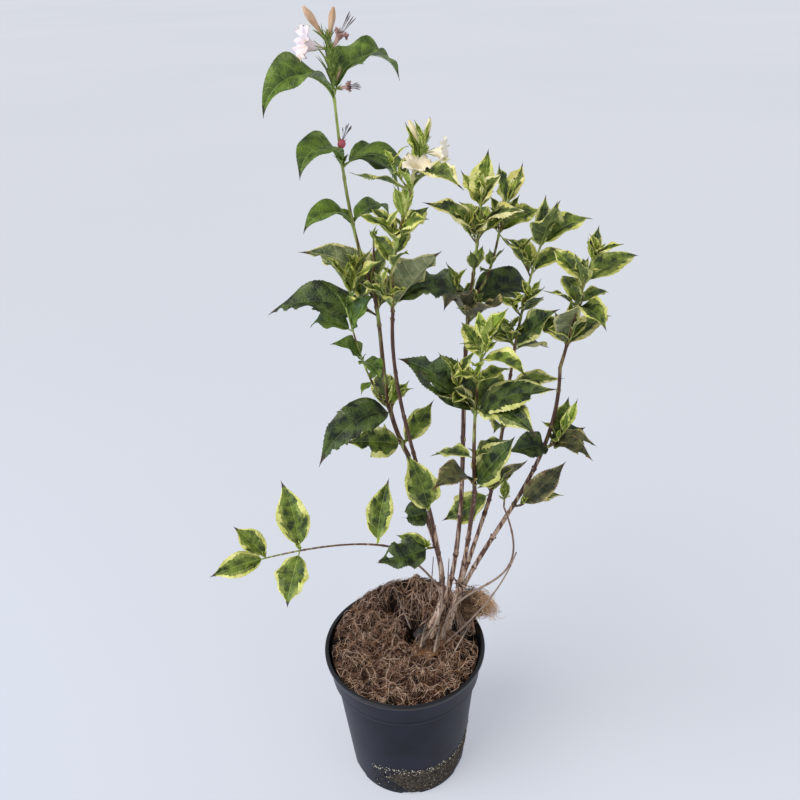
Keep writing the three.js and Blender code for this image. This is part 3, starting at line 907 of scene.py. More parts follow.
# The canes and twigs: name, the curve's four points, radius and bark's age at foot and top.
CANE_ROWS = (
    ("cane_left_tall", (28, 14, 203), (79, 3, 312), (30, 8, 378), (13, 2, 498), 3.7, 2.7, 0.08, 0.6),
    ("cane_left_slim", (31, -4, 203), (87, -22, 362), (-13, -22, 541), (2, -36, 692), 2.8, 1.8, 0.12, 0.66),
    ("cane_middle_tall", (41, 25, 203), (89, 20, 337), (74, 45, 491), (84, 58, 622), 3.4, 2.3, 0.1, 0.62),
    ("cane_middle_short", (43, -3, 203), (74, -3, 281), (80, -21, 388), (85, -34, 469), 3.1, 2.4, 0.1, 0.5),
    ("cane_right_inner", (53, 16, 203), (69, 10, 280), (91, 23, 337), (111, 34, 406), 3.2, 2.5, 0.1, 0.36),
    ("cane_right_outer", (56, 4, 203), (66, 0, 351), (188, -1, 450), (177, -6, 607), 3.4, 1.9, 0.1, 0.6),
    ("twig_low_left", (20, -6, 203), (37, -24, 260), (86, -24, 303), (-8, -24, 386), 1.7, 1.3, 0.2, 0.5),
    ("twig_low_right", (53, -10, 203), (36, -15, 349), (178, -16, 272), (120, -24, 439), 1.7, 1, 0.1, 0.6),
    ("twig_low_right_dead", (42, -14, 203), (99, -12, 264), (121, -30, 321), (133, -44, 388), 1.3,
     0.8, 0.0, 0.4),
)
CANES = {name: Cane(row[:4], row[4:6], row[6:]) for name, *row in CANE_ROWS}

# Dead stubs of old shoots that stand in the mix: foot, reach and foot radius.
STUBS = (
    ((9, 30, 198), (-21, -24, 104), 1.2),
    ((19, -12, 198), (8, -8, 58), 1.7),
    ((36, -20, 196), (9, -4, 60), 1.7),
    ((60, -20, 196), (26, 4, 58), 1.1),
    ((34, 38, 208), (7, -10, 116), 0.9),
    ((56, 36, 208), (5, -8, 112), 0.9),
)

# Each mass's node, its bark's ages, its low and high tint and where they change,
# the share of its leaves with a sprig, and its shoots.
MASSES = (
    Mass("leaves_green_top", (0.72, 1.0), PLAIN, PLAIN, 0.5, 0, (
        Shoot(((-17, 0, 701), (-42, -4, 782), (-39, -4, 847), (-45, -6, 934)), (1.9, 1.1), (
            Leaf(0.3, 218, 4, 58, 110, roll=-8), Leaf(0.3, 48, -4, 56, 100, roll=6),
            Leaf(0.29, 160, 50, 24, 20), Leaf(0.54, 226, 0, 52, 170, 0, 0.6, roll=-10),
            Leaf(0.54, 350, -22, 68, 145, 0, 0.42, roll=5),
            Leaf(0.55, 30, -34, 70, 120, 0, 0.5, roll=8,
                bites=((0.6, -0.7, 6), (0.72, 0.9, 5), (0.5, -1, 4))),
            Leaf(0.54, 168, 56, 43, 20, 0, 0.26), Leaf(0.8, 222, -2, 80, 140, 0, 0.44, roll=-8),
            Leaf(0.81, 36, 5, 76, 145, 0, 0.46, roll=8, bites=((0.42, 1, 5),)),
        ), (
            Bloom("flower", 0.97, 205, 14, 32), Bloom("bud", 0.99, 182, 58, 34),
            Bloom("bud", 0.98, 20, 76, 31), Bloom("spent", 0.95, 345, 56, 28),
            Bloom("calyx", 0.93, 300, 76, 46), Bloom("calyx", 0.9, 220, 74, 52),
            Bloom("calyx", 0.88, 30, 78, 50), Bloom("calyx", 0.86, 160, 76, 54),
            Bloom("calyx", 0.84, 340, 80, 50), Bloom("calyx", 0.96, 100, 80, 40),
            Bloom("spent", 0.84, 340, 8, 20), Bloom("spent", 0.84, 200, 42, 16),
            Bloom("bud", 0.84, 20, 66, 20), Bloom("bare", 0.62, 330, 66, 22),
        )),
    )),
    Mass("leaves_left_tall", (0.6, 0.8), DEEP, MID, 0.6, 0.3, (
        Shoot(((13, 2, 498), (-19, 1, 571), (-6, 1, 636), (-17, 0, 701)), (2.8, 1.9), (
            Leaf(0.07, 205, 20, 72, 25, -60, 0.52, MID,
                bites=((0.7, -1, 7), (0.5, 1, 5), (0.24, 1, 4))),
            Leaf(0.06, 55, 22, 66, 35, 20, 0.4, MID),
            Leaf(0.26, 213, -17, 94, 140, -15, 0.42, DARK, roll=-12,
                bites=((0.52, -1, 6), (0.64, -1, 4.5), (0.73, -1, 4), (0.6, 0.9, 6), (0.82, -1, 3))),
            Leaf(0.26, 100, 10, 72, 60), Leaf(0.31, 340, 78, 40, 20, 20, 0.34, YOUNG),
            Leaf(0.31, 50, 20, 38, 30, tint=YOUNG),
            Leaf(0.85, 180, 4, 114, 75, -10, 0.36, DARK, roll=-12,
                bites=((0.62, -1, 6), (0.76, -1, 5), (0.86, -1, 4))),
            Leaf(0.88, 60, -5, 74, 70, tint=GREY),
            Leaf(0.94, 160, 28, 88, 85, 10, 0.38, GREY, roll=-12,
                bites=((0.58, -1, 6), (0.8, -1, 5))),
        )),
        Shoot(((-16, 1, 688), (-16, 9, 706), (-15, 14, 728), (-14, 17, 748)), (1.5, 1.1), (
            Leaf(0.3, 80, 35, 46, 30, tint=DEEP),
        )),
    )),
    Mass("leaves_left_side", (0.78, 1.0), PLAIN, PLAIN, 0.5, 0, (
        Shoot(((-6, 1, 560), (-30, -9, 603), (-36, -18, 652), (-44, -26, 694)), (1.3, 0.8), (
            Leaf(0.3, 240, -5, 24, 30), Leaf(0.32, 75, 5, 22, 20), Leaf(0.5, 208, 42, 46, 40, -25, 0.5),
            Leaf(0.5, 295, 0, 46, 60, 0, 0.5), Leaf(0.78, 155, 0, 52, 60, -15, 0.48),
            Leaf(0.79, 325, 58, 54, 30, 40, 0.5), Leaf(0.98, 200, 62, 26, 20, -20, 0.34),
            Leaf(0.98, 40, 55, 22, 20, 20, 0.34),
        )),
    )),
    Mass("leaves_left_low", (0.5, 0.6), MID, MID, 0.5, 0, (
        Shoot(((35, -21, 434), (35, -25, 437), (34, -28, 440), (33, -31, 443)), (1.2, 1), (
            Leaf(0.8, 188, 74, 88, 25, -70, 0.42, MID),
            Leaf(0.7, 200, 2, 36, 20, -50, 0.86, DARK, ((0.97, 0.1, 8),)),
        )),
    )),
    Mass("leaves_left_foot", (0.4, 0.5), MID, MID, 0.5, 0, (
        Shoot(((43, -18, 379), (36, -23, 382), (34, -25, 384), (31, -26, 385)), (1.2, 1), (
            Leaf(0.6, 205, 4, 72, 30, -30, 0.52, DARK,
                bites=((0.72, 0.42, 3.6), (0.52, 1, 3.6), (0.98, -0.4, 3.5))),
            Leaf(0.5, 165, 16, 44, 30, -30, 0.4),
        )),
    )),
    Mass("leaves_left_slim", (0.8, 1.0), MID, BRIGHT, 0.3, 0.35, (
        Shoot(((2, -36, 692), (-3, -38, 749), (22, -41, 805), (36, -44, 855)), (1.9, 1.2), (
            Leaf(0.02, 350, 50, 76, 30, -60, 0.6, GREY), Leaf(0.03, 28, -8, 78, 100, tint=DARK),
            Leaf(0.02, 226, 40, 60, 40, 0, 0.4, MID), Leaf(0.27, 300, 38, 38, 40),
            Leaf(0.28, 120, 30, 40, 40), Leaf(0.34, 60, 30, 36, 30, 20),
            Leaf(0.42, 308, 34, 56, 50, 20, 0.36), Leaf(0.44, 50, 20, 52, 40, 20, 0.36),
            Leaf(0.42, 214, 36, 56, 50, 0, 0.34), Leaf(0.43, 130, 30, 46, 40, 0, 0.34),
            Leaf(0.55, 250, 60, 42, 20, 0, 0.28, YOUNG), Leaf(0.56, 60, 62, 40, 20, 0, 0.28, YOUNG),
            Leaf(0.71, 310, 8, 64, 110, tint=CREAM, roll=10, bites=((0.62, -1, 4),)),
            Leaf(0.71, 150, 6, 64, 40, 45, 0.36, MID), Leaf(0.72, 235, 48, 34, 20, tint=YOUNG),
            Leaf(0.87, 150, 68, 36, 15, 0, 0.56, YOUNG), Leaf(0.88, 70, 20, 28, 20, tint=YOUNG),
        ), (
            Bloom("bud", 0.94, 165, 66, 28), Bloom("bud", 0.95, 30, 72, 26),
            Bloom("flower", 0.93, 345, 2, 26), Bloom("flower", 0.77, 290, 60, 27),
            Bloom("calyx", 0.9, 310, 74, 44), Bloom("calyx", 0.88, 200, 76, 40),
        )),
    )),
    Mass("leaves_middle_tall", (0.62, 1.0), DEEP, BRIGHT, 0.5, 0.4, (
        Shoot(((84, 58, 622), (88, 59, 680), (98, 61, 737), (99, 62, 786)), (2.3, 1.1), (
            Leaf(0.06, 298, 32, 80, 50, -20, tint=BRONZE), Leaf(0.06, 245, 30, 84, 130, 10, 0.4, BRONZE),
            Leaf(0.18, 35, 2, 92, 60, 20, 0.5, DARK, ((0.6, 1, 5),)),
            Leaf(0.18, 145, 5, 84, 70, tint=DARK), Leaf(0.42, 250, 60, 30, 20, tint=MID),
            Leaf(0.42, 60, 40, 32, 20, tint=MID), Leaf(0.6, 192, 38, 76, 75, -5, 0.38, CREAM),
            Leaf(0.62, 321, 34, 72, 90, 10, 0.4, CREAM), Leaf(0.62, 80, 25, 56, 60),
            Leaf(0.75, 138, 30, 32, 30), Leaf(0.82, 60, 72, 62, 15, 0, 0.46),
            Leaf(0.85, 320, 56, 46, 15, 40, 0.46, CREAM), Leaf(0.85, 140, 50, 42, 15),
        )),
        Shoot(((86, 59, 655), (122, 68, 690), (114, 76, 740), (135, 84, 773)), (1.8, 1), (
            Leaf(0.3, 240, 20, 26, 20, tint=MID), Leaf(0.34, 85, 20, 28, 20, tint=MID),
            Leaf(0.36, 315, 50, 28, 20, tint=MID), Leaf(0.62, 25, 16, 56, 60, 20, 0.4),
            Leaf(0.62, 125, 5, 54, 60), Leaf(0.85, 210, 72, 50, 15, -50, 0.46),
            Leaf(0.87, 49, 48, 46, 15, 20, tint=CREAM),
        )),
    )),
    Mass("leaves_middle_short", (0.56, 1.0), DEEP, BRIGHT, 0.6, 0.4, (
        Shoot(((85, -34, 469), (81, -43, 548), (81, -51, 611), (90, -62, 680)), (2.4, 1), (
            Leaf(0.03, 340, 58, 88, 25, 50, tint=DEEP), Leaf(0.04, 226, 25, 78, 90, 10, tint=BRONZE),
            Leaf(0.22, 140, -20, 62, 40, tint=MID), Leaf(0.22, 35, 0, 52, 50),
            Leaf(0.49, 333, 28, 96, 70, 15, 0.44, DEEP, ((0.8, 1, 4),)),
            Leaf(0.51, 208, 34, 60, 40, 0, 0.34, CREAM), Leaf(0.54, 220, 46, 52, 30, 0, 0.36, CREAM),
            Leaf(0.49, 160, 34, 98, 90, -20, 0.42, DARK,
                bites=((0.55, -0.4, 5), (0.7, 1, 6), (0.4, 0.9, 5))),
            Leaf(0.5, 192, 44, 84, 30, -15, 0.38, DARK, ((0.6, 1, 5),)), Leaf(0.51, 308, 6, 84, 80),
            Leaf(0.5, 60, 10, 74, 60, tint=MID), Leaf(0.69, 36, 0, 48, 50),
            Leaf(0.69, 222, 30, 44, 50, 0, 0.36), Leaf(0.83, 310, 4, 60, 60, 10),
            Leaf(0.83, 100, 6, 48, 50, tint=YOUNG), Leaf(0.85, 108, 18, 52, 40, 0, 0.4),
            Leaf(0.78, 250, 34, 34, 30, tint=YOUNG), Leaf(0.93, 100, 55, 34, 20, 0, 0.34, YOUNG),
            Leaf(0.93, 295, 66, 34, 20, 0, 0.34, YOUNG), Leaf(0.93, 35, 40, 42, 30, 0, 0.4, YOUNG),
        )),
    )),
    Mass("leaves_right_inner", (0.5, 1.0), MID, BRIGHT, 0.62, 0.5, (
        Shoot(((111, 34, 406), (132, 36, 518), (127, 38, 637), (164, 40, 745)), (2.5, 1.1), (
            Leaf(0.03, 155, -44, 80, 30, -60, 0.46), Leaf(0.04, 322, 50, 74, 35, -50, tint=BRONZE),
            Leaf(0.3, 80, 10, 74, 60, tint=DEEP), Leaf(0.3, 250, 25, 56, 50),
            Leaf(0.45, 350, 10, 60, 60, tint=CREAM), Leaf(0.45, 165, 15, 44, 60, tint=CREAM),
            Leaf(0.6, 322, 50, 76, 30, 30, 0.46, DEEP), Leaf(0.59, 40, -20, 62, 60, tint=CREAM),
            Leaf(0.6, 130, 0, 64, 60), Leaf(0.64, 235, 28, 42, 30), Leaf(0.71, 205, 38, 44, 40, 0, 0.36),
            Leaf(0.72, 313, 50, 48, 30, 20, 0.36, DEEP), Leaf(0.72, 50, 0, 48, 40, tint=DEEP),
            Leaf(0.84, 190, 50, 62, 45, 25, 0.4, MID), Leaf(0.85, 28, 0, 60, 95, 0, 0.4),
            Leaf(0.86, 110, 20, 52, 60), Leaf(0.93, 297, 62, 60, 30, -10, 0.62, MID),
            Leaf(0.94, 18, 20, 64, 75, 20, tint=MID), Leaf(0.96, 74, 76, 46, 15, 0, 0.34, DEEP),
            Leaf(0.97, 50, 44, 44, 20, 0, 0.34),
        )),
    )),
    Mass("leaves_right_outer", (0.66, 1.0), MID, BRIGHT, 0.6, 0.6, (
        Shoot(((177, -6, 607), (187, -7, 652), (190, -8, 695), (204, -10, 739)), (2, 1), (
            Leaf(0.18, 290, 63, 74, 60, 0, 0.66, GREY),
            Leaf(0.18, 36, 14, 72, 50, tint=CREAM, bites=((0.7, -1, 5),)), Leaf(0.19, 120, 12, 50, 60),
            Leaf(0.51, 191, 30, 44, 50, 0, 0.36), Leaf(0.54, 215, 66, 30, 15, 0, 0.4, DEEP),
            Leaf(0.54, 33, 4, 46, 50, 0, 0.36), Leaf(0.52, 285, 0, 60, 60, tint=MID),
            Leaf(0.53, 100, 20, 50, 50), Leaf(0.7, 230, 58, 48, 20, 10, 0.56, MID),
            Leaf(0.71, 27, 14, 72, 55, 10, 0.4, MID), Leaf(0.72, 130, 30, 50, 40),
            Leaf(0.89, 55, 71, 36, 15, 0, 0.36, DEEP), Leaf(0.9, 311, 34, 42, 40, 0, 0.3),
            Leaf(0.9, 225, 64, 30, 15, tint=YOUNG),
        )),
    )),
    Mass("leaves_right_side", (0.6, 0.9), DEEP, YOUNG, 0.5, 0.4, (
        Shoot(((166, -3, 503), (175, -11, 512), (180, -12, 520), (185, -13, 530)), (1.5, 1), (
            Leaf(0.1, 208, 12, 56, 60, -20, 0.56, DARK), Leaf(0.2, 20, 14, 46, 50, 20, 0.56, DARK),
            Leaf(0.3, 304, 12, 62, 40, 0, 0.4, BRONZE, bites=((0.8, 0.9, 4),)),
            Leaf(0.4, 345, 0, 44, 90, 0, 0.5, BRONZE, bites=((0.8, 0.9, 4),)),
            Leaf(0.6, 60, 45, 50, 30, tint=MID), Leaf(0.98, 40, 58, 40, 20, 0, 0.3),
            Leaf(0.98, 60, 72, 26, 20, 0, 0.4),
        )),
    )),
    Mass("leaves_right_low", (0.4, 0.6), BRONZE, BRONZE, 0.5, 0.2, (
        Shoot(((135, -1, 422), (141, -8, 427), (143, -10, 430), (145, -12, 433)), (1.3, 1), (
            Leaf(0.5, 0, 50, 78, 25, 50, 0.36, roll=5), Leaf(0.5, 15, 0, 56, 40, 0, 0.3, CREAM),
        )),
    )),
    Mass("leaves_low_right", (0.5, 0.8), MID, MID, 0.5, 0.2, (
        Shoot(((120, -24, 439), (120, -25, 446), (120, -25, 450), (120, -25, 454)), (1, 0.8), (
            Leaf(0.6, 80, 45, 26, 20), Leaf(0.6, 260, 40, 28, 20),
        )),
    )),
    Mass("leaves_low_left", (0.42, 0.8), MID, MID, 0.5, 0, (
        Shoot(((-8, -24, 386), (-48, -24, 401), (-110, -27, 394), (-161, -30, 383)), (1.3, 0.9), (
            Leaf(0.15, 69, 53, 79, 20, 0, 0.4), Leaf(0.73, 112, 55, 84, 20, 0, 0.45),
            Leaf(0.73, 252, -40, 66, 20, 0, 0.6), Leaf(0.98, 155, 40, 52, 30, 0, 0.52),
            Leaf(0.98, 201, -4, 66, 50, -30),
        )),
    )),
)


# ---- Leaves ----


@dataclass(frozen=True)
class LeafRule:
    """What all leaves share. Shares are of the leaf's straight length, lengths in millimetres.

    The blade is laid out in cells from one pair of side veins to the next. A large leaf has many
    rows of points to a cell and a small one few, and the first and the last row of a large leaf's
    cell edge the strip of its vein. `twist` to `recurve` are how far one leaf differs from the next.
    """

    petiole: float = 0.09
    petiole_radius: float = 0.85
    widest: float = 0.4
    drawn_out: float = 0.5
    half_thickness: float = 0.16
    cells: int = 7
    slant: float = 0.25
    rib: float = 0.45
    large: float = 40.0
    medium: float = 22.0
    rows: tuple[tuple[float, ...], ...] = (
        (0.026, 0.2, 0.4, 0.6, 0.8, 0.974), (0.04, 0.36, 0.66, 0.96), (0.5, 1.0)
    )
    tooth: float = 0.75
    groove: float = 0.6
    quilt: float = 1.25
    tip_from: float = 0.885
    to_light: Point = (-0.3, -0.62, 0.72)
    light_share: float = 0.45
    most_roll: float = 16.0
    twist: float = 0.26
    sway: float = 0.03
    curl: float = 0.085
    wave: tuple[float, float] = (0.1, 0.3)
    waves: tuple[float, float] = (1.6, 3.4)
    fold: tuple[float, float] = (0.7, 1.5)
    recurve: tuple[float, float] = (0.0, 0.24)


RULE = LeafRule()


class Blade:
    """One leaf in space: its midrib runs along a circular arc whose chord has the leaf's
    bearing, rise and reach, and the whole blade is turned about that chord."""

    def __init__(self, leaf: Leaf, look: LeafLook, root: Array, seed: int) -> None:
        """Places the leaf and draws what makes it differ from its neighbours.

        Args:
            leaf: the leaf's measures.
            look: its finishes, whose parts give its faces their numbers.
            root: the point of the stem that it grows from.
            seed: number that its variation follows from.
        """
        self.leaf = leaf
        self.look = look
        self.root = root
        self.rng = np.random.default_rng(seed)
        self.chord = heading(leaf.bearing, leaf.rise)
        turn = Matrix.Rotation(math.radians(leaf.turn), 3, Vector(self.chord))
        self.turn = np.array(turn)
        self.twist = self.rng.uniform(-RULE.twist, RULE.twist)
        self.sway = self.rng.uniform(-RULE.sway, RULE.sway) * leaf.reach
        self.curl = (look.curl + self.rng.uniform(-RULE.curl, RULE.curl)) * leaf.reach
        self.wave = self.rng.uniform(*RULE.wave)
        self.waves = self.rng.uniform(*RULE.waves)
        self.fold = self.rng.uniform(*RULE.fold) * math.sin(math.radians(look.fold))
        self.phase = self.rng.uniform(0, 2 * math.pi, 2)
        self.recurve = self.rng.uniform(*RULE.recurve)
        self.roll = 0.0
        self.roll = self.lean()

    def lean(self) -> float:
        """How far the blade rolls about its midrib: part of the way towards the light, within a
        limit, and its own roll besides.

        Returns:
            The roll in radians.
        """
        _, side, normal = self.frame(np.array([0.4, 0.5]))
        light = unit(np.array(RULE.to_light))
        off = math.atan2(float(side[1] @ light), float(normal[1] @ light))
        limit = math.radians(RULE.most_roll)
        return float(np.clip(off * RULE.light_share, -limit, limit)) + math.radians(self.leaf.roll)

    def share(self, u: Array) -> Array:
        """How far along the blade itself a share of the whole leaf lies."""
        return (u - RULE.petiole) / (1 - RULE.petiole)

    def half_width(self, u: Array) -> Array:
        """Half the blade's width: (s / widest)^(2 widest) ((1 - s) / (1 - widest))^(2 - 2 widest),
        drawn in further towards the tip.

        Args:
            u: places along the leaf.

        Returns:
            Half widths, of the same shape.
        """
        s = np.clip(self.share(u), 0, 1)
        rise = (s / RULE.widest) ** (2 * RULE.widest)
        fall = ((1 - s) / (1 - RULE.widest)) ** (2 * (1 - RULE.widest))
        fall = fall * (1 - RULE.drawn_out * smooth(0.62, 0.95, s))
        return np.maximum(0.5 * self.leaf.reach * self.leaf.wide * rise * fall, 0.2)

    def frame(self, u: Array) -> tuple[Array, Array, Array]:
        """The midrib's points, and the side and upward directions there.

        Args:
            u: shares of the way from stem to tip, of any shape.

        Returns:
            Points, sides and normals, each with one more axis than u.
        """
        leaf = self.leaf
        bend = math.radians(max(leaf.arch, 1))
        start = math.radians(leaf.rise) + bend / 2
        slope = start - bend * u
        radius = 0.5 * leaf.reach / math.sin(bend / 2)
        out = radius * (math.sin(start) - np.sin(slope))
        up = radius * (np.cos(slope) - math.cos(start))
        flat = heading(leaf.bearing, 0.0)
        top = np.array([0.0, 0.0, 1.0])
        spot = out[..., None] * flat + up[..., None] * top
        along = np.cos(slope)[..., None] * flat + np.sin(slope)[..., None] * top
        normal = -np.sin(slope)[..., None] * flat + np.cos(slope)[..., None] * top
        spot, along, normal = (v @ self.turn.T for v in (spot, along, normal))
        side = np.cross(along, normal)
        twist = self.twist * np.sin(math.pi * u / 2)[..., None] * 2
        twist = twist - self.roll * smooth(0.0, 0.3, u)[..., None]
        side, normal = (
            side * np.cos(twist) + normal * np.sin(twist),
            normal * np.cos(twist) - side * np.sin(twist),
        )
        spot = spot + self.root + side * (self.sway * np.sin(math.pi * u))[..., None]
        curl = self.curl * np.clip((u - 0.72) / 0.28, 0, 1) ** 2
        return spot + normal * curl[..., None], side, normal

    def surface(
        self, u: Array, t: Array, cell: Array | float = 0.0, rise: Array | float = 0.0
    ) -> Array:
        """Points of the blade: folded along the midrib, its edges bent back and waved, and swollen
        like a quilt between the side veins.

        Args:
            u: places along the leaf.
            t: places across it, from -1 to 1.
            cell: places counted in cells of side veins.
            rise: how far above the blade's middle layer.

        Returns:
            The points.
        """
        spot, side, normal = self.frame(u)
        width = self.half_width(u)
        across = np.abs(t)
        lift = width * (across**1.15 * self.fold - self.recurve * across**4)
        phase = np.where(t < 0, self.phase[0], self.phase[1])
        lift = lift + width * self.wave * across**2 * np.sin(2 * math.pi * self.waves * u + phase)
        swell = np.abs(np.sin(math.pi * cell)) ** 0.7 * across**0.4 * (1 - np.minimum(across, 1)) ** 0.35
        scale = np.minimum(width / 14, 1.2)
        lift = lift + RULE.quilt * scale * swell - RULE.groove * scale * bell(across * width, 0.9)
        return spot + side * (t * width)[..., None] + normal * (lift + rise)[..., None]

    def row_cells(self) -> Array:
        """The places of the rows of points, counted in cells, from the blade's foot to its tip.

        Returns:
            The places, in rising order.
        """
        reach = self.leaf.reach
        size = 0 if reach > RULE.large else 1 if reach > RULE.medium else 2
        inner = np.arange(RULE.cells)[:, None] + np.array(RULE.rows[size])
        ends = (0.0, float(RULE.cells))
        return np.unique(np.concatenate([inner.ravel(), ends]).round(4))

    def middle_edge(self, cells: Array) -> Array:
        """Where the green middle ends in each row, as a share of the half width: one flame in each
        cell, that reaches out or falls short along the side veins, with teeth and a slow drift.

        Args:
            cells: the rows' places, in cells.

        Returns:
            One share a row.
        """
        flames = self.rng.uniform(-1, 1, RULE.cells + 2)
        flame = np.interp(cells, np.arange(RULE.cells + 2) + self.rng.uniform(-0.5, 0.1), flames)
        jump = self.rng.uniform(-1, 1, RULE.cells + 1)[np.minimum(cells, RULE.cells).astype(int)]
        teeth = self.rng.uniform(-0.4, 0.4, len(cells))
        drift = 0.3 * np.sin(cells * 0.9 + self.rng.uniform(0, 6))
        ragged = self.look.jag * (0.45 * flame + 0.5 * jump + teeth + drift)
        return np.clip(self.look.middle + ragged, 0.1, 0.96)

    def eaten(self, u: Array, t: Array) -> tuple[Array, Array, Array]:
        """Moves the grid's points out of each bite to its ragged rim.

        Args:
            u: places along the leaf.
            t: places across it.

        Returns:
            The moved u and t, and which points lay inside a bite.
        """
        inside = np.zeros(u.shape, dtype=bool)
        for place, aside, radius in self.leaf.bites:
            along = (u - place) * self.leaf.reach
            middle = float(self.half_width(np.array(place))) * aside
            across = t * self.half_width(u) - middle
            angle = np.arctan2(across, along)
            rim = radius * (1 + 0.16 * np.sin(3 * angle + place * 20) + 0.1 * np.sin(7 * angle))
            away = np.hypot(along, across)
            hit = away < rim
            grow = np.where(hit, rim / np.maximum(away, 1e-6), 1.0)
            u = np.where(hit, np.clip(place + along * grow / self.leaf.reach, RULE.petiole, 1), u)
            t = np.where(hit, np.clip((middle + across * grow) / self.half_width(u), -1.1, 1.1), t)
            inside |= hit
        return u, t, inside

    def blade(self) -> list[Skin]:
        """The blade's upper and lower faces, which meet at its toothed edge. Its rows slant
        forward from the midrib as the side veins do, and a narrow strip follows the midrib.

        Returns:
            The upper skin and the lower one.
        """
        cells = self.row_cells()
        rows = len(cells)
        left, right = (self.middle_edge(cells) for _ in range(2))
        places = RULE.petiole + (1 - RULE.petiole) * cells / RULE.cells
        rib = np.minimum(RULE.rib / self.half_width(places), 0.1)
        steps = (0.3, 0.62, 1.0)
        columns = [-np.ones(rows), -(1 + left) / 2]
        columns += [-left * step for step in reversed(steps)] + [-rib, rib]
        columns += [right * step for step in steps] + [(1 + right) / 2, np.ones(rows)]
        t = np.stack(columns, axis=1)
        share = (cells / RULE.cells)[:, None]
        slant = RULE.slant * smooth(0.0, 0.25, share) * (1 - share)
        s = share + slant * np.abs(t) ** 1.4
        out = (np.arange(rows) % 2 == 1)[:, None] & (share < 0.9)
        tooth = np.minimum(RULE.tooth / self.half_width(RULE.petiole + (1 - RULE.petiole) * s), 0.14)
        tooth = tooth * smooth(0.1, 0.25, share) * (0.3 if self.look is PLAIN.value else 1.0)
        rim = np.abs(t) == 1
        t = t + np.sign(t) * rim * np.where(out, tooth, -0.4 * tooth)
        s = s + rim * out * 0.4 / rows
        u = RULE.petiole + (1 - RULE.petiole) * np.minimum(s, 1)
        u, t, inside = self.eaten(u, t)
        grid = np.broadcast_to(cells[:, None], u.shape)
        thickness = RULE.half_thickness * (1 - np.clip(np.abs(t), 0, 1) ** 6) * ~inside
        faces = grid_faces(*u.shape)
        gone = inside.ravel()[faces].all(axis=1)
        column = np.arange(len(faces)) % (t.shape[1] - 1)
        row = np.arange(len(faces)) // (t.shape[1] - 1)
        last = t.shape[1] - 2
        edge = (column < 2) | (column > last - 2)
        middle = (cells[row] + cells[row + 1]) / 2
        vein = (cells[row + 1] - cells[row] < 0.12) & (middle > 0.5) & (middle < RULE.cells - 0.5) & ~edge
        vein |= column == last // 2
        late = middle / RULE.cells + 0.02 * np.sin(7 * column + self.phase[0]) > RULE.tip_from
        drawn = self.rng.uniform(size=(4, RULE.cells + 1))
        part = np.minimum(middle, RULE.cells).astype(int)
        inner = (column == 2) & (drawn[0][part] < 0.5) | (column == last - 2) & (drawn[1][part] < 0.5)
        outer = (column == 1) & (drawn[2][part] < 0.25) | (column == last - 1) & (drawn[3][part] < 0.25)
        skins = []
        upper = (1, Part.BLADE, Part.MARGIN, Part.VEIN)
        lower = (-1, Part.UNDER, Part.UNDER_MARGIN, Part.UNDER_VEIN)
        for sign, blade, margin, ribs in (upper, lower):
            halo = (inner | outer) & (sign > 0)
            kinds = ((edge, margin), (halo, Part.HALO), (vein, ribs), (late, Part.TIP))
            finish = np.full(len(faces), blade.value)
            for where, kind in kinds:
                finish[where] = kind.value
            points = self.surface(u, t, grid, sign * thickness)
            order = faces if sign > 0 else faces[:, ::-1]
            skins.append(skin_of(points, order[~gone], finish[~gone]))
        return skins

    def midrib(self) -> Skin:
        """The petiole, which runs on under the blade as the midrib.

        Returns:
            A tube.
        """
        u = np.linspace(0, 0.97, 20)
        taper = RULE.petiole_radius * min(1.0, 0.35 + self.leaf.reach / 90)
        radius = taper * (0.2 + 0.8 * (1 - smooth(0.0, 0.6, u)))
        path = self.surface(u, np.zeros_like(u), rise=-0.12 - 0.2 * radius)
        path[0] = self.root
        return tubes(path[None], radius[None], 5, finish=Part.UNDER_VEIN.value)

    def skin(self) -> Skin:
        """The whole leaf."""
        return joined([*self.blade(), self.midrib()])


# ---- Stems ----


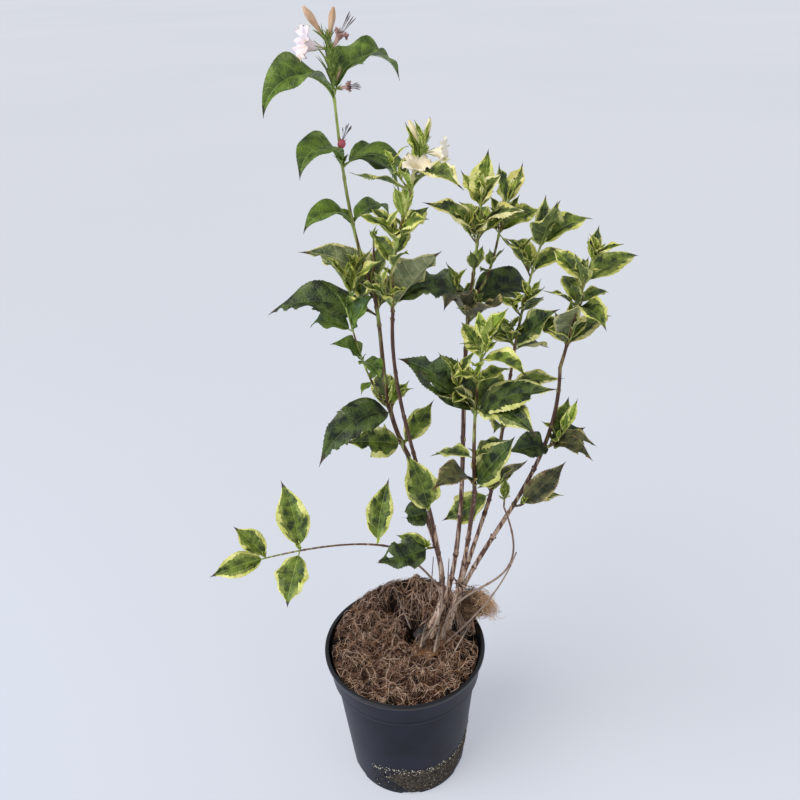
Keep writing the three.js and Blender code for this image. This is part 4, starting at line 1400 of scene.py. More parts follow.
@dataclass(frozen=True)
class Stem:
    """A round woody or green stem along a curve, with swollen nodes, a pair of buds at each, and
    shallow ridges that run up it."""

    way: Way
    radii: tuple[float, float]
    ages: tuple[float, float]
    nodes: tuple[float, ...]
    seed: int
    sides: int = 12
    step: float = 2.4
    swell: float = 0.28
    ridges: float = 0.05
    buds: float = 3.6
    scar: float = 0.4

    def length(self) -> float:
        """The curve's length, from a hundred short chords."""
        points = bezier(self.way, np.linspace(0, 1, 101))
        return float(np.linalg.norm(np.diff(points, axis=0), axis=1).sum())

    def skin(self) -> Skin:
        """The stem: radius = taper * (1 + node swellings + ridges + slow unevenness).

        Returns:
            The stem and its buds.
        """
        length = self.length()
        t = np.linspace(0, 1, max(int(length / self.step), 8))
        rng = np.random.default_rng(self.seed)
        angle = circle(self.sides)
        radius = self.radii[0] + (self.radii[1] - self.radii[0]) * t
        away = (t[:, None] - np.array(self.nodes or (-1.0,))) * length
        rings = self.swell * bell(away, 1.9) - 0.1 * bell(away - 3.2, 1.0)
        phase = rng.uniform(0, 6, 3)
        up = t[:, None]
        ridge = np.sin(3 * angle + phase[0] + up * 4) + 0.6 * np.sin(5 * angle - phase[1] + up * 7)
        uneven = 0.03 * np.sin(t * length / 9 + phase[2])
        relief = 1 + rings.sum(axis=1)[:, None] + self.ridges * ridge + uneven[:, None]
        age = self.ages[0] + (self.ages[1] - self.ages[0]) * t
        if self.ages[0] < 0.5:
            age = age + self.scar * (1 - age) * bell(away + 0.6, 1.5).sum(axis=1)
        path = bezier(self.way, t)
        skins = [tubes(path[None], radius[None], self.sides, relief[None], age=age[None])]
        skins += [self.bud_pair(node, index, length) for index, node in enumerate(self.nodes)]
        return joined(skins)

    def bud_pair(self, node: float, index: int, length: float) -> Skin:
        """Two pointed buds on either side of a node, a quarter turn from the pair below.

        Args:
            node: the node's share of the way up.
            index: its number from the foot.
            length: the stem's length.

        Returns:
            Both buds.
        """
        rng = np.random.default_rng(self.seed * 31 + index)
        spot = bezier(self.way, np.array(node))
        ahead = bezier(self.way, np.array(min(node + 2 / length, 1.0)))
        along = unit(ahead - spot + np.array([0, 0, 1e-6]))
        across = unit(np.cross(along, heading(40 + 90 * (index % 2) + rng.uniform(-20, 20), 0)))
        radius = self.radii[0] + (self.radii[1] - self.radii[0]) * node
        size = self.buds * rng.uniform(0.7, 1.2) * min(radius / 2.4, 1.1)
        reach = np.linspace(0, 1, 5)[:, None]
        paths = [
            spot + sign * across * (radius * 0.7 + 0.45 * size * np.sqrt(reach)) + along * size * reach
            for sign in (-1, 1)
        ]
        radii = np.array([0.5, 1.0, 0.85, 0.5, 0.12]) * size * 0.3
        age = self.ages[0] + (self.ages[1] - self.ages[0]) * node
        age = age + self.scar * (1 - age) if self.ages[0] < 0.5 else age + 0.05
        return tubes(np.stack(paths), np.broadcast_to(radii, (2, 5)), 6, age=age)


@dataclass
class Canes:
    """The canes and twigs, each in place of its solid."""

    spacing: float = 44.0
    burr_on: str = "cane_middle_short"
    burr_at: float = 0.42
    burr_scales: int = 46

    def burr(self, spot: Array) -> Skin:
        """A dark knot of dry bud scales and pale splinters that stands out of a cane.

        Args:
            spot: its middle.

        Returns:
            Its scales.
        """
        rng = np.random.default_rng(57)
        count = self.burr_scales
        way = unit(rng.normal(size=(count, 1, 3)) + np.array([0, 0, 0.7]))
        share = np.linspace(0, 1, 5)[None, :, None]
        paths = spot + way * share * rng.uniform(4, 13, (count, 1, 1)) + rng.normal(0, 2.2, (count, 1, 3))
        paths = paths + rng.normal(0, 2, (count, 1, 3)) * share**2
        radii = rng.uniform(0.4, 1.2, (count, 1)) * np.array([1, 1, 0.8, 0.5, 0.15])
        return tubes(paths, radii, 6, age=rng.choice([0.0, 0.07, 0.5, 0.58], (count, 1)))

    def build(self) -> list[Piece]:
        """One piece for each cane or twig.

        Returns:
            The pieces.
        """
        barks = {"cane": (CANE_BARK.material(), "cane_bark"), "twig": (TWIG_BARK.material(), "twig_bark")}
        pieces = []
        for number, (name, cane) in enumerate(CANES.items()):
            bark, slot = barks[name.split("_")[0]]
            rough = Stem(cane.way, cane.radii, cane.ages, (), seed=number)
            count = max(int(rough.length() / self.spacing), 2)
            rng = np.random.default_rng(50 + number)
            nodes = ((np.arange(count) + 0.7 + rng.uniform(-0.15, 0.15, count)) / count) ** 1.3
            stem = Stem(cane.way, cane.radii, cane.ages, tuple(nodes), seed=number, ridges=0.08)
            skins = [stem.skin()]
            if name == self.burr_on:
                skins.append(self.burr(bezier(cane.way, np.array(self.burr_at))))
            piece = make_piece(f"{name}_bark", joined(skins), [bark])
            pieces.append(dress(piece, slot, name))
        return pieces


@dataclass
class DeadStubs:
    """Broken grey ends of old shoots round the crown."""

    def build(self) -> list[Piece]:
        """One piece for each stub, a little bent, with a splintered top.

        Returns:
            The pieces.
        """
        wood = DEAD_WOOD.material()
        pieces = []
        for number, (foot, reach, radius) in enumerate(STUBS, start=1):
            start, span = np.array(foot, dtype=float), np.array(reach, dtype=float)
            way = tuple(tuple(start + span * share) for share in (0, 0.35, 0.7, 1))
            stem = Stem(
                way, (radius, radius * 0.6), (0.0, 0.9), (0.4, 0.75), seed=90 + number,
                sides=9, swell=0.35, ridges=0.09, buds=2.0,
            )
            piece = make_piece(f"dead_stub_{number}_wood", stem.skin(), [wood])
            pieces.append(dress(piece, "dead_wood", f"dead_stub_{number}"))
        return pieces


@dataclass
class Crown:
    """The knobbly stool from which the canes rise."""

    at: tuple[float, float] = (39, 7)
    foot: float = 190
    top: float = 219
    radius: float = 25
    lump: float = 0.12
    steps: int = 40
    sides: int = 72

    def build(self) -> list[Piece]:
        """One piece: a flattened ball whose radius swells five times round it, with burrs.

        Returns:
            The pieces.
        """
        turn = np.linspace(-math.pi / 2 + 0.02, math.pi / 2 - 0.02, self.steps)
        out = np.cos(turn)[:, None] * np.ones(self.sides)
        bulge = 1 + self.lump * np.sin(5 * circle(self.sides)) * out
        up = np.sin(turn)[:, None] * np.ones(self.sides)
        skin = revolved(out * bulge * self.radius, up * (self.top - self.foot) / 2, self.sides)
        burr = Ripple(7, 3.0, 14.0)(skin.points)
        skin.points *= (1 + 0.05 * burr)[:, None] * np.array([1, 1, 0.97])
        skin.points += np.array([*self.at, (self.top + self.foot) / 2])
        skin.age[:] = 0.08 + 0.1 * burr
        return [dress(make_piece("crown_wood", skin, [CROWN_BARK.material()]), "cane_bark", "crown")]

    def cover(self, x: Array, y: Array) -> Array:
        """The height of the stool's top, or nothing beside it.

        Args:
            x: places along X.
            y: places along Y.

        Returns:
            Heights, of the same shape.
        """
        away = np.hypot(x - self.at[0], y - self.at[1]) / self.radius
        half = (self.top - self.foot) / 2
        return np.where(away < 1, self.foot + half * (1 + np.sqrt(np.clip(1 - away**2, 0, 1))), 0)


# ---- Pot, mix and fibre ----


@dataclass
class NurseryPot:
    """The round pot: a tapering shell with a collar band, a rolled lip, a notched foot and six
    drain holes."""

    height: float = 205
    rim_radius: float = 105
    base_radius: float = 78
    wall: float = 2.4
    floor: float = 3
    collar_height: float = 38
    collar_step: float = 5
    collar_taper: float = 4.5
    lip_height: float = 5
    lip_overhang: float = 2.5
    lip_round: float = 0.8
    foot_round: float = 1.8
    notches: int = 6
    notch_width: float = 24
    notch_height: float = 6
    holes: int = 6
    hole_radius: float = 6
    hole_circle: float = 46
    sides: int = 216
    collar_radius: float = field(init=False)
    body_radius: float = field(init=False)
    body_top: float = field(init=False)

    def __post_init__(self) -> None:
        """Works out the collar's and the body's sizes from the rim."""
        self.collar_radius = self.rim_radius - self.lip_overhang
        self.body_radius = self.collar_radius - self.collar_taper - self.collar_step
        self.body_top = self.height - self.collar_height - self.collar_step

    def inside(self, height: float) -> float:
        """The inside radius above the body's top."""
        share = (height - self.body_top) / (self.height - self.body_top)
        return self.body_radius + (self.collar_radius - self.body_radius) * share - self.wall

    def outside(self, height: Array) -> Array:
        """The outside radius of the body under the collar."""
        share = (height - self.foot_round) / (self.body_top - self.foot_round)
        return self.base_radius + (self.body_radius - self.base_radius) * share

    def profile(self) -> Array:
        """The shell's outline from the middle of its underside, up the outside and down inside.

        Returns:
            Radius and height, row by row.
        """
        quarter = np.linspace(0, math.pi / 2, 7)
        foot = across_and_up(
            self.base_radius - self.foot_round * (1 - np.sin(quarter)),
            self.foot_round * (1 - np.cos(quarter)),
        )
        climb = np.linspace(6, self.body_top - 0.6, 40)
        body = across_and_up(self.outside(climb), climb)
        collar_foot = self.height - self.collar_height
        out = self.body_radius + self.collar_step
        turn = np.linspace(0, math.pi / 2, 6)
        step = across_and_up(
            self.body_radius + 0.15 + (self.collar_step - 0.15) * np.sin(turn),
            self.body_top + (collar_foot - self.body_top) * (1 - np.cos(turn)),
        )
        low, high = collar_foot + 3, self.height - self.lip_height - 0.7
        rise = np.linspace(low, high, 14)
        lean = (self.collar_radius - out) * (rise - low) / (high - low)
        collar = across_and_up(out + lean, rise)
        under = self.height - self.lip_height
        lip = [(self.collar_radius + 0.25, under - 0.15), (self.rim_radius - 0.9, under + 0.05)]
        roll = np.linspace(-math.pi / 2, math.pi / 2, 11)
        half = self.lip_height / 2
        curl = across_and_up(
            self.rim_radius - self.lip_round + self.lip_round * np.cos(roll),
            under + half + (half - 0.05) * np.sin(roll),
        )
        brim = self.inside(self.height)
        top = [(brim + 0.6, self.height), (brim, self.height - 0.5)]
        fall = np.linspace(self.height - 3, self.body_top, 10)
        inner = [(self.inside(z), z) for z in fall]
        deep = np.linspace(self.body_top - 6, self.floor + 3, 24)
        share = (deep - self.floor) / (self.body_top - self.floor)
        radius = self.base_radius - self.wall
        down = across_and_up(radius + (self.inside(self.body_top) - radius) * share, deep)
        floor = [(radius, self.floor), (60, self.floor), (30, self.floor), (0.5, self.floor)]
        under_floor = [(0.5, 0), (30, 0), (60, 0), (radius, 0), (radius + 0.05, 0), (radius + 0.3, 0)]
        return np.concatenate([under_floor, foot, body, step, collar, lip, curl, top, inner, down, floor])

    def shell(self) -> Skin:
        """The turned shell, its foot raised at each notch to half an ellipse.

        Returns:
            The shell, with the lip's finish on its lip.
        """
        radii, heights = self.profile().T
        pitch = 2 * math.pi / self.notches
        off = (circle(self.sides) % pitch - pitch / 2) * self.base_radius / (self.notch_width / 2)
        notch = self.notch_height * np.sqrt(np.clip(1 - off**2, 0, 1))
        up = np.repeat(heights[:, None], self.sides, axis=1)
        wall = np.arange(len(radii)) >= 5
        wall &= (radii > self.base_radius - self.wall) & (heights < self.notch_height)
        up[wall] = np.maximum(up[wall], notch[None, :] + 0.25 * heights[wall][:, None])
        skin = revolved(radii, up, self.sides)
        middles = skin.points[np.maximum(skin.faces, 0)].mean(axis=1)
        out = np.hypot(middles[:, 0], middles[:, 1])
        skin.finish[(middles[:, 2] > self.height - self.lip_height - 0.3) & (out > 40)] = 1
        return skin

    def drill(self, piece: Piece) -> None:
        """Cuts the drain holes through the floor.

        Args:
            piece: the pot.
        """
        radii = np.array([0.5, self.hole_radius, self.hole_radius, 0.5])
        one = revolved(radii, np.array([-5.0, -5.0, 9.0, 9.0]), 24)
        centres = about_z(1.0, circle(self.holes), np.zeros(self.holes)) * self.hole_circle
        bits = [replace(one, points=one.points + centre) for centre in centres]
        cutter = make_piece("drill", joined(bits), [])
        cut = piece.modifiers.new("drain", "BOOLEAN")
        cut.operation, cut.solver, cut.object = "DIFFERENCE", "EXACT", cutter
        graph = bpy.context.evaluated_depsgraph_get()
        drilled = bpy.data.meshes.new_from_object(piece.evaluated_get(graph))
        piece.modifiers.clear()
        piece.data = drilled
        bpy.data.objects.remove(cutter)

    def build(self) -> list[Piece]:
        """The pot, and the grit that is stuck to its foot.

        Returns:
            The pieces.
        """
        plastic, lip = POT_PLASTIC.material(), LIP_PLASTIC.material()
        pot = make_piece("pot_shell", self.shell(), [plastic, lip])
        self.drill(pot)
        dress(pot, "pot_plastic", "pot")
        return [pot, *StuckGrit(self).build()]


@dataclass
class StuckGrit:
    """A crescent of dried grit and perlite on the lower front of the pot's wall."""

    pot: NurseryPot
    start: float = -128
    end: float = 2
    dark_grains: int = 1500
    pale_grains: int = 330
    dark_size: tuple[float, float] = (0.35, 1.0)
    pale_size: tuple[float, float] = (0.45, 1.15)
    pale_at_edge: float = 0.62

    def upper(self, bearing: Array) -> Array:
        """The height of the crescent's upper edge, which climbs at its right end."""
        return 55 + 5 * bell(bearing + 100, 16) + 13 * smooth(-48, -12, bearing)

    def lower(self, bearing: Array) -> Array:
        """The height of its lower edge, which leaves the foot on the right."""
        return 8 + 26 * smooth(-52, -8, bearing)

    def crust(self) -> Skin:
        """A thin ragged layer on the wall: proud of it by its relief, and back to it at its edges.

        Returns:
            Its outer and its inner side.
        """
        bearing = np.linspace(self.start + 12, self.end - 6, 150)[None, :]
        share = np.linspace(0, 1, 26)[:, None]
        ragged = Ripple(21, 6, 34)
        rag = ragged(np.stack([bearing * 1.4, 0 * bearing, 0 * bearing], axis=-1)) * 4
        ends = smooth(self.start + 12, self.start + 40, bearing)
        ends = ends * (1 - smooth(self.end - 22, self.end - 6, bearing))
        middle = 0.45 * self.lower(bearing) + 0.55 * (self.upper(bearing) - 3)
        top = middle + (self.upper(bearing) - 3 + rag - middle) * ends
        low = middle + (self.lower(bearing) - 2 + rag * 0.4 - middle) * ends
        height = low + (top - low) * share
        angle = np.radians(np.broadcast_to(bearing, height.shape))
        flat = about_z(self.pot.outside(height), angle, height)
        edge = np.minimum(share, 1 - share) * 2
        proud = (0.5 + 0.35 * Ripple(22, 2.5, 9)(flat)) * smooth(0.0, 0.3, edge) * ends
        lean = about_z(1.0, angle, np.zeros_like(angle))
        outer = flat + lean * (np.maximum(proud, 0) + 0.05)[..., None]
        inner = flat - lean * 0.3
        faces = grid_faces(*height.shape)
        return joined([skin_of(outer, faces), skin_of(inner, faces[:, ::-1])])

    def grains(self) -> Skin:
        """Rough eight-sided grains, each a turned and stretched octahedron on the wall.

        Returns:
            All the grains.
        """
        rng = np.random.default_rng(23)
        count = self.dark_grains + self.pale_grains
        pale = np.arange(count) >= self.dark_grains
        bearing = rng.uniform(self.start, self.end, count)
        low, top = self.lower(bearing), self.upper(bearing)
        bottom = np.where(bearing < -60, 2.5, low - 3)
        edge = top + 1 - np.abs(rng.normal(0, 7, count))
        spread = bottom + (top - bottom) * rng.uniform(0, 1, count) ** 0.8
        keep = pale & (rng.uniform(0, 1, count) < self.pale_at_edge)
        height = np.clip(np.where(keep, edge, spread), 2, 78)
        angle = np.radians(bearing)
        size = np.where(pale, rng.uniform(*self.pale_size, count), rng.uniform(*self.dark_size, count))
        centre = about_z(self.pot.outside(height) + size * 0.35, angle, height)
        corners = np.concatenate([np.eye(3), -np.eye(3)])
        turn = unit(rng.normal(size=(count, 3, 3)))
        shape = corners @ turn * size[:, None, None] * rng.uniform(0.7, 1.2, (count, 6, 1))
        points = centre[:, None, :] + shape
        flipped = np.linalg.det(turn) < 0
        round_it = ((0, 1), (1, 3), (3, 4), (4, 0))
        upper, lower = [(a, b, 2, -1) for a, b in round_it], [(b, a, 5, -1) for a, b in round_it]
        one = np.array(upper + lower)
        faces = one[None] + np.where(one < 0, 0, 1)[None] * (np.arange(count) * 6)[:, None, None]
        faces[flipped, :, 0], faces[flipped, :, 1] = faces[flipped, :, 1], faces[flipped, :, 0].copy()
        return skin_of(points, faces.reshape(-1, 4), np.repeat(pale.astype(int), 8))

    def build(self) -> list[Piece]:
        """The crust and the grains on it.

        Returns:
            The pieces.
        """
        grit, perlite = GRIT.material(), PERLITE.material()
        crust = make_piece("grit_crust", self.crust(), [grit])
        grains = make_piece("grit_grains", self.grains(), [grit, perlite], flat=True)
        return [dress(crust, "coir_mix"), dress(grains, "coir_mix")]


@dataclass
class PottingMix:
    """The coir mix: a near-black body, its colour partly dark coir and partly painted shade where it
    shows between strands, heaped round the crown and in a ridge inside the back rim, under
    thousands of curled strands."""

    pot: NurseryPot
    crown: Crown
    edge: float = 193
    ridge: float = 58
    ridge_radius: float = 68
    ridge_spread: float = 30
    ridge_bearing: float = 70
    ridge_arc: float = 55
    heap: float = 13
    heap_spread: float = 42
    lump: float = 3.4
    seat: float = 0.6
    banks: tuple[tuple[float, float, float], ...] = ((150, 50, 8), (118, 26, 12), (40, 20, 15), (-60, 40, 2))
    pits: tuple[tuple[float, float, float, float], ...] = (
        (16, 13, 13, 36), (12, 30, 9, 16), (70, 20, 14, 14), (-14, 50, 9, 16), (82, 22, 14, 26),
        (88, 8, 9, 12), (-42, -12, 7, 7), (4, 62, 8, 12), (-30, -52, 7, 6), (26, -58, 8, 6),
    )
    strands: int = 5400
    fuzz: int = 2600
    bare_below: float = 7.0
    bare_patch: float = 0.3
    clumps: tuple[tuple[float, float, float, float, int, int], ...] = (
        (50, -4, 9, 4, 3, 260), (30, -14, 13, 3, 3, 260), (84, 44, 26, 12, 0, 520), (72, 70, 20, 8, 1, 300)
    )

    def height(self, x: Array, y: Array) -> Array:
        """The surface: a level edge, a ridge that follows the back of the rim, a heap round the
        crown and lumps, all fading out at the wall, less a bell-shaped pit at each dark hollow.

        Args:
            x: places along X.
            y: places along Y.

        Returns:
            Heights, of the same shape.
        """
        out = np.hypot(x, y)
        brim = self.pot.inside(self.edge) - self.seat
        across = (out - self.ridge_radius) / self.ridge_spread
        around = (np.degrees(np.arctan2(y, x)) - self.ridge_bearing) / self.ridge_arc
        to_crown = np.hypot(x - self.crown.at[0], y - self.crown.at[1]) / self.heap_spread
        swell = self.ridge * np.exp(-(across**2) - around**2) + self.heap * np.exp(-(to_crown**2))
        lumps = np.sin(0.19 * x + 1.3) * np.cos(0.23 * y) + 0.6 * np.sin(0.37 * y - 0.29 * x)
        fade = 1 - np.clip(out / brim, 0, 1) ** 10
        fine = Ripple(31, 3.5, 16)(np.stack([x, y, 0 * x], axis=-1)) * 1.8
        bearing = np.degrees(np.arctan2(y, x))
        bank = sum(high * bell((bearing - at + 180) % 360 - 180, wide) for at, wide, high in self.banks)
        bank = bank * smooth(0.4, 0.95, out / brim)
        return self.edge + bank + (swell + self.lump * lumps + fine - self.sunk(x, y)) * fade

    def sunk(self, x: Array, y: Array) -> Array:
        """How deep the pits are: a bell of each one's width and depth round its middle."""
        return sum(deep * bell(np.hypot(x - px, y - py), wide) for px, py, wide, deep in self.pits)

    def body(self) -> Skin:
        """The closed body: up the pot's inside and over the surface to the middle.

        Returns:
            The body.
        """
        sides, rings = 200, 84
        brim = self.pot.inside(self.edge) - self.seat
        low = self.pot.floor + self.seat
        foot = self.pot.base_radius - self.pot.wall - self.seat
        wide = self.pot.inside(self.pot.body_top) - self.seat
        share = np.linspace(0, 1, 14)
        wall = across_and_up(foot + (wide - foot) * share, low + (self.pot.body_top - low) * share)
        ahead = np.concatenate([[[0.5, low], [foot * 0.5, low]], wall])
        top = brim * (1 - np.linspace(0, 1, rings) ** 1.05 * 0.995)
        radii = np.concatenate([ahead[:, 0], top])
        angle = circle(sides)
        surface = self.height(top[:, None] * np.cos(angle), top[:, None] * np.sin(angle))
        up = np.concatenate([np.repeat(ahead[:, 1:], sides, axis=1), surface])
        return revolved(radii, up, sides)

    def laid(
        self, seed: int, count: int, lengths: tuple[float, float], radii: tuple[float, float],
        steps: int, lift: tuple[float, float], shares: tuple[float, ...],
    ) -> Skin:
        """Curled strands that lie on the surface in all directions.

        A strand runs straight for its length, bends aside by a parabola and a wiggle, follows the
        surface's height, and its middle or its end stands off it. On a steep flank it lies more
        along the slope than up it.

        Args:
            seed: number that the strands follow from.
            count: how many.
            lengths: the shortest and the longest.
            radii: the thinnest and the thickest.
            steps: points along each.
            lift: the least and the greatest height of its middle above the surface.
            shares: the share of strands in each colour.

        Returns:
            One skin of all the strands.
        """
        rng = np.random.default_rng(seed)
        brim = self.pot.inside(self.edge) - 1.6
        out = brim * np.sqrt(rng.uniform(0, 1, count))
        around = rng.uniform(0, 2 * math.pi, count)
        s = np.linspace(-0.5, 0.5, steps)[None, :]
        length = rng.uniform(*lengths, count)[:, None]
        bend = rng.normal(0, 0.2, count)[:, None] * length
        wiggle = rng.normal(0, 0.05, count)[:, None] * length
        ahead = s * length
        aside = bend * (4 * s * s - 0.5) + wiggle * np.sin(s * 9 + rng.uniform(0, 6, count)[:, None])
        x0, y0 = out * np.cos(around), out * np.sin(around)
        east = self.height(x0 + 2, y0) - self.height(x0 - 2, y0)
        north = self.height(x0, y0 + 2) - self.height(x0, y0 - 2)
        along = np.arctan2(east, -north) + rng.normal(0, 0.7, count)
        steep = np.hypot(east, north) > 3.4
        way = np.where(steep, along, rng.uniform(0, 2 * math.pi, count))[:, None]
        x = x0[:, None] + ahead * np.cos(way) - aside * np.sin(way)
        y = y0[:, None] + ahead * np.sin(way) + aside * np.cos(way)
        far = np.hypot(x, y)
        pull = np.minimum(1, brim / np.maximum(far, 1e-6))
        x, y = x * pull, y * pull
        stand = rng.uniform(*lift, count)[:, None] * (1 - 4 * s * s)
        tail = rng.uniform(-0.3, 1.0, count)[:, None] ** 3 * lift[1] * np.clip(s + 0.1, 0, 1) * 2.2
        ground = np.maximum(self.height(x, y), self.crown.cover(x, y))
        z = ground + 0.3 + stand + np.maximum(tail, -0.3)
        thick = rng.uniform(*radii, count)[:, None] * (1 - 1.6 * s * s)
        finish = rng.choice(len(shares), count, p=shares)
        x_middle, y_middle = x[:, steps // 2], y[:, steps // 2]
        # Strands are left out of the deeper pits, out of bare patches and mostly out of a band just inside
        # the rim, so that the near-black body shows there as painted shade.
        shown = self.sunk(x_middle, y_middle) < self.bare_below * rng.uniform(0.4, 1.6, count)
        patch = Ripple(36, 9, 40)(np.stack([x_middle, y_middle, 0 * x_middle], axis=-1))
        shown &= (patch < self.bare_patch) | (rng.uniform(size=count) < 0.25)
        shown &= (np.hypot(x_middle, y_middle) < brim * 0.95) | (rng.uniform(size=count) < 0.35)
        return tubes(np.stack([x, y, z], axis=-1)[shown], thick[shown], 3, finish=finish[shown])

    def clump(self, seed: int, x: float, y: float, wide: float, high: float, colour: int, count: int) -> Skin:
        """A loose knot of short fibres in one colour.

        Args:
            seed: number that the fibres follow from.
            x: where its middle is.
            y: where its middle is.
            wide: its spread.
            high: how far it stands up.
            colour: number of its finish.
            count: how many fibres.

        Returns:
            One skin of all its fibres.
        """
        rng = np.random.default_rng(seed)
        middle = rng.normal(0, 0.5, (count, 1, 3)) * np.array([wide, wide, high])
        way = unit(rng.normal(size=(count, 1, 3)) * np.array([1, 1, 0.6]))
        bend = unit(rng.normal(size=(count, 1, 3)))
        s = np.linspace(-0.5, 0.5, 6)[None, :, None]
        length = rng.uniform(7, 20, (count, 1, 1))
        paths = middle + way * s * length + bend * (s * s * 4 - 0.5) * length * 0.25
        paths = paths + np.array([x, y, 0])
        far = np.hypot(paths[..., 0], paths[..., 1])
        paths[..., :2] *= np.minimum(1, (self.pot.inside(self.edge) - 1) / far)[..., None]
        ground = np.maximum(self.height(paths[..., 0], paths[..., 1]), self.crown.cover(x, y) - 6)
        paths[..., 2] = ground + 0.4 + np.abs(paths[..., 2])
        thick = np.broadcast_to(np.array([0.12, 0.22, 0.27, 0.27, 0.22, 0.1]), paths.shape[:2])
        finish = np.where(rng.uniform(size=count) < 0.7, colour, 1)
        return tubes(paths, thick, 3, finish=finish)

    def build(self) -> list[Piece]:
        """The body, the long strands and the short fuzz between them.

        Returns:
            The pieces.
        """
        body = make_piece("mix_body", self.body(), [MIX_AND_PAINTED_SHADE.material()])
        coir = [finish.material() for finish in STRANDS]
        shares = (0.25, 0.26, 0.2, 0.05, 0.24)
        long = self.laid(32, self.strands, (9, 36), (0.14, 0.36), 7, (0.2, 6.0), shares)
        shares = (0.2, 0.26, 0.24, 0.06, 0.24)
        short = self.laid(33, self.fuzz, (5, 14), (0.13, 0.27), 5, (0.2, 3.2), shares)
        knots = [self.clump(34 + k, *knot) for k, knot in enumerate(self.clumps)]
        return [
            dress(body, "coir_mix", "soil"),
            dress(make_piece("mix_strands", long, coir), "coir_fibre"),
            dress(make_piece("mix_fuzz", joined([short, *knots]), coir), "coir_fibre"),
        ]


@dataclass
class FibreTuft:
    """The fluffy tuft of loose fibre over the back right of the rim."""

    at: tuple[float, float] = (98, 50)
    size: tuple[float, float, float] = (27, 25, 15)
    height: float = 222
    strands: int = 1150
    wisps: int = 44
    steps: int = 11
    droop: float = 13
    clear_of: float = 109
    rest_on: float = 208

    def fluff(self) -> Skin:
        """Fibres in wisps that start anywhere in the tuft, run out of it and curl round as they go.

        Returns:
            All the fibres.
        """
        rng = np.random.default_rng(41)
        count = self.strands
        size = np.array(self.size)
        wisps = unit(rng.normal(size=(self.wisps, 3)) * np.array([1.0, 1.0, 0.8]))
        away = unit(wisps[rng.integers(self.wisps, size=count)] + rng.normal(0, 0.22, (count, 3)))
        start = rng.uniform(0.0, 0.7, (count, 1, 1))
        end = start + rng.uniform(0.25, 0.95, (count, 1, 1)) * (1.25 - start)
        s = np.linspace(0, 1, self.steps)[None, :, None]
        spin = unit(rng.normal(size=(count, 1, 3)))
        out = away[:, None, :]
        turns = rng.uniform(3.5, 9.0, (count, 1, 1))
        swirl = np.cross(out, spin) * np.sin(s * turns) + spin * (1 - np.cos(s * turns)) * 0.7
        paths = (out * (start + (end - start) * s) + swirl * rng.uniform(0.12, 0.5, (count, 1, 1))) * size
        droop = self.droop * np.clip(paths[..., 0] / self.size[0], 0, 1.2) ** 2
        paths += np.array([*self.at, self.height])
        rim = np.hypot(paths[..., 0], paths[..., 1]) < self.clear_of
        low = np.where(rim, self.rest_on, 0.0)
        paths[..., 2] = np.maximum(paths[..., 2] - droop, np.minimum(paths[..., 2], low))
        thick = rng.uniform(0.16, 0.46, count)[:, None] * (1.1 - 0.7 * s[..., 0])
        side = away[:, 0] + rng.normal(0, 0.45, count)
        finish = np.where(side > 0.1, 0, np.where(rng.uniform(size=count) < 0.4, 2, 1))
        return tubes(paths, thick, 3, finish=finish)

    def core(self) -> Skin:
        """The dense matted middle: an uneven ball inside the fluff.

        Returns:
            The ball.
        """
        turn = np.linspace(-math.pi / 2 + 0.03, math.pi / 2 - 0.03, 26)
        flat, up = np.cos(turn), np.sin(turn)
        skin = revolved(flat, up, 48, finish=2)
        rough = 0.42 + 0.14 * Ripple(42, 0.3, 1.2)(skin.points)
        skin.points = skin.points * rough[:, None] * np.array(self.size) + np.array([*self.at, self.height])
        return skin

    def build(self) -> list[Piece]:
        """One piece in place of the tuft's solid.

        Returns:
            The pieces.
        """
        fibres = [finish.material() for finish in TUFT_FIBRES]
        piece = make_piece("fibre_fluff", joined([self.fluff(), self.core()]), fibres)
        return [dress(piece, "coir_fibre", "fibre_tuft")]


# ---- Blossom ----


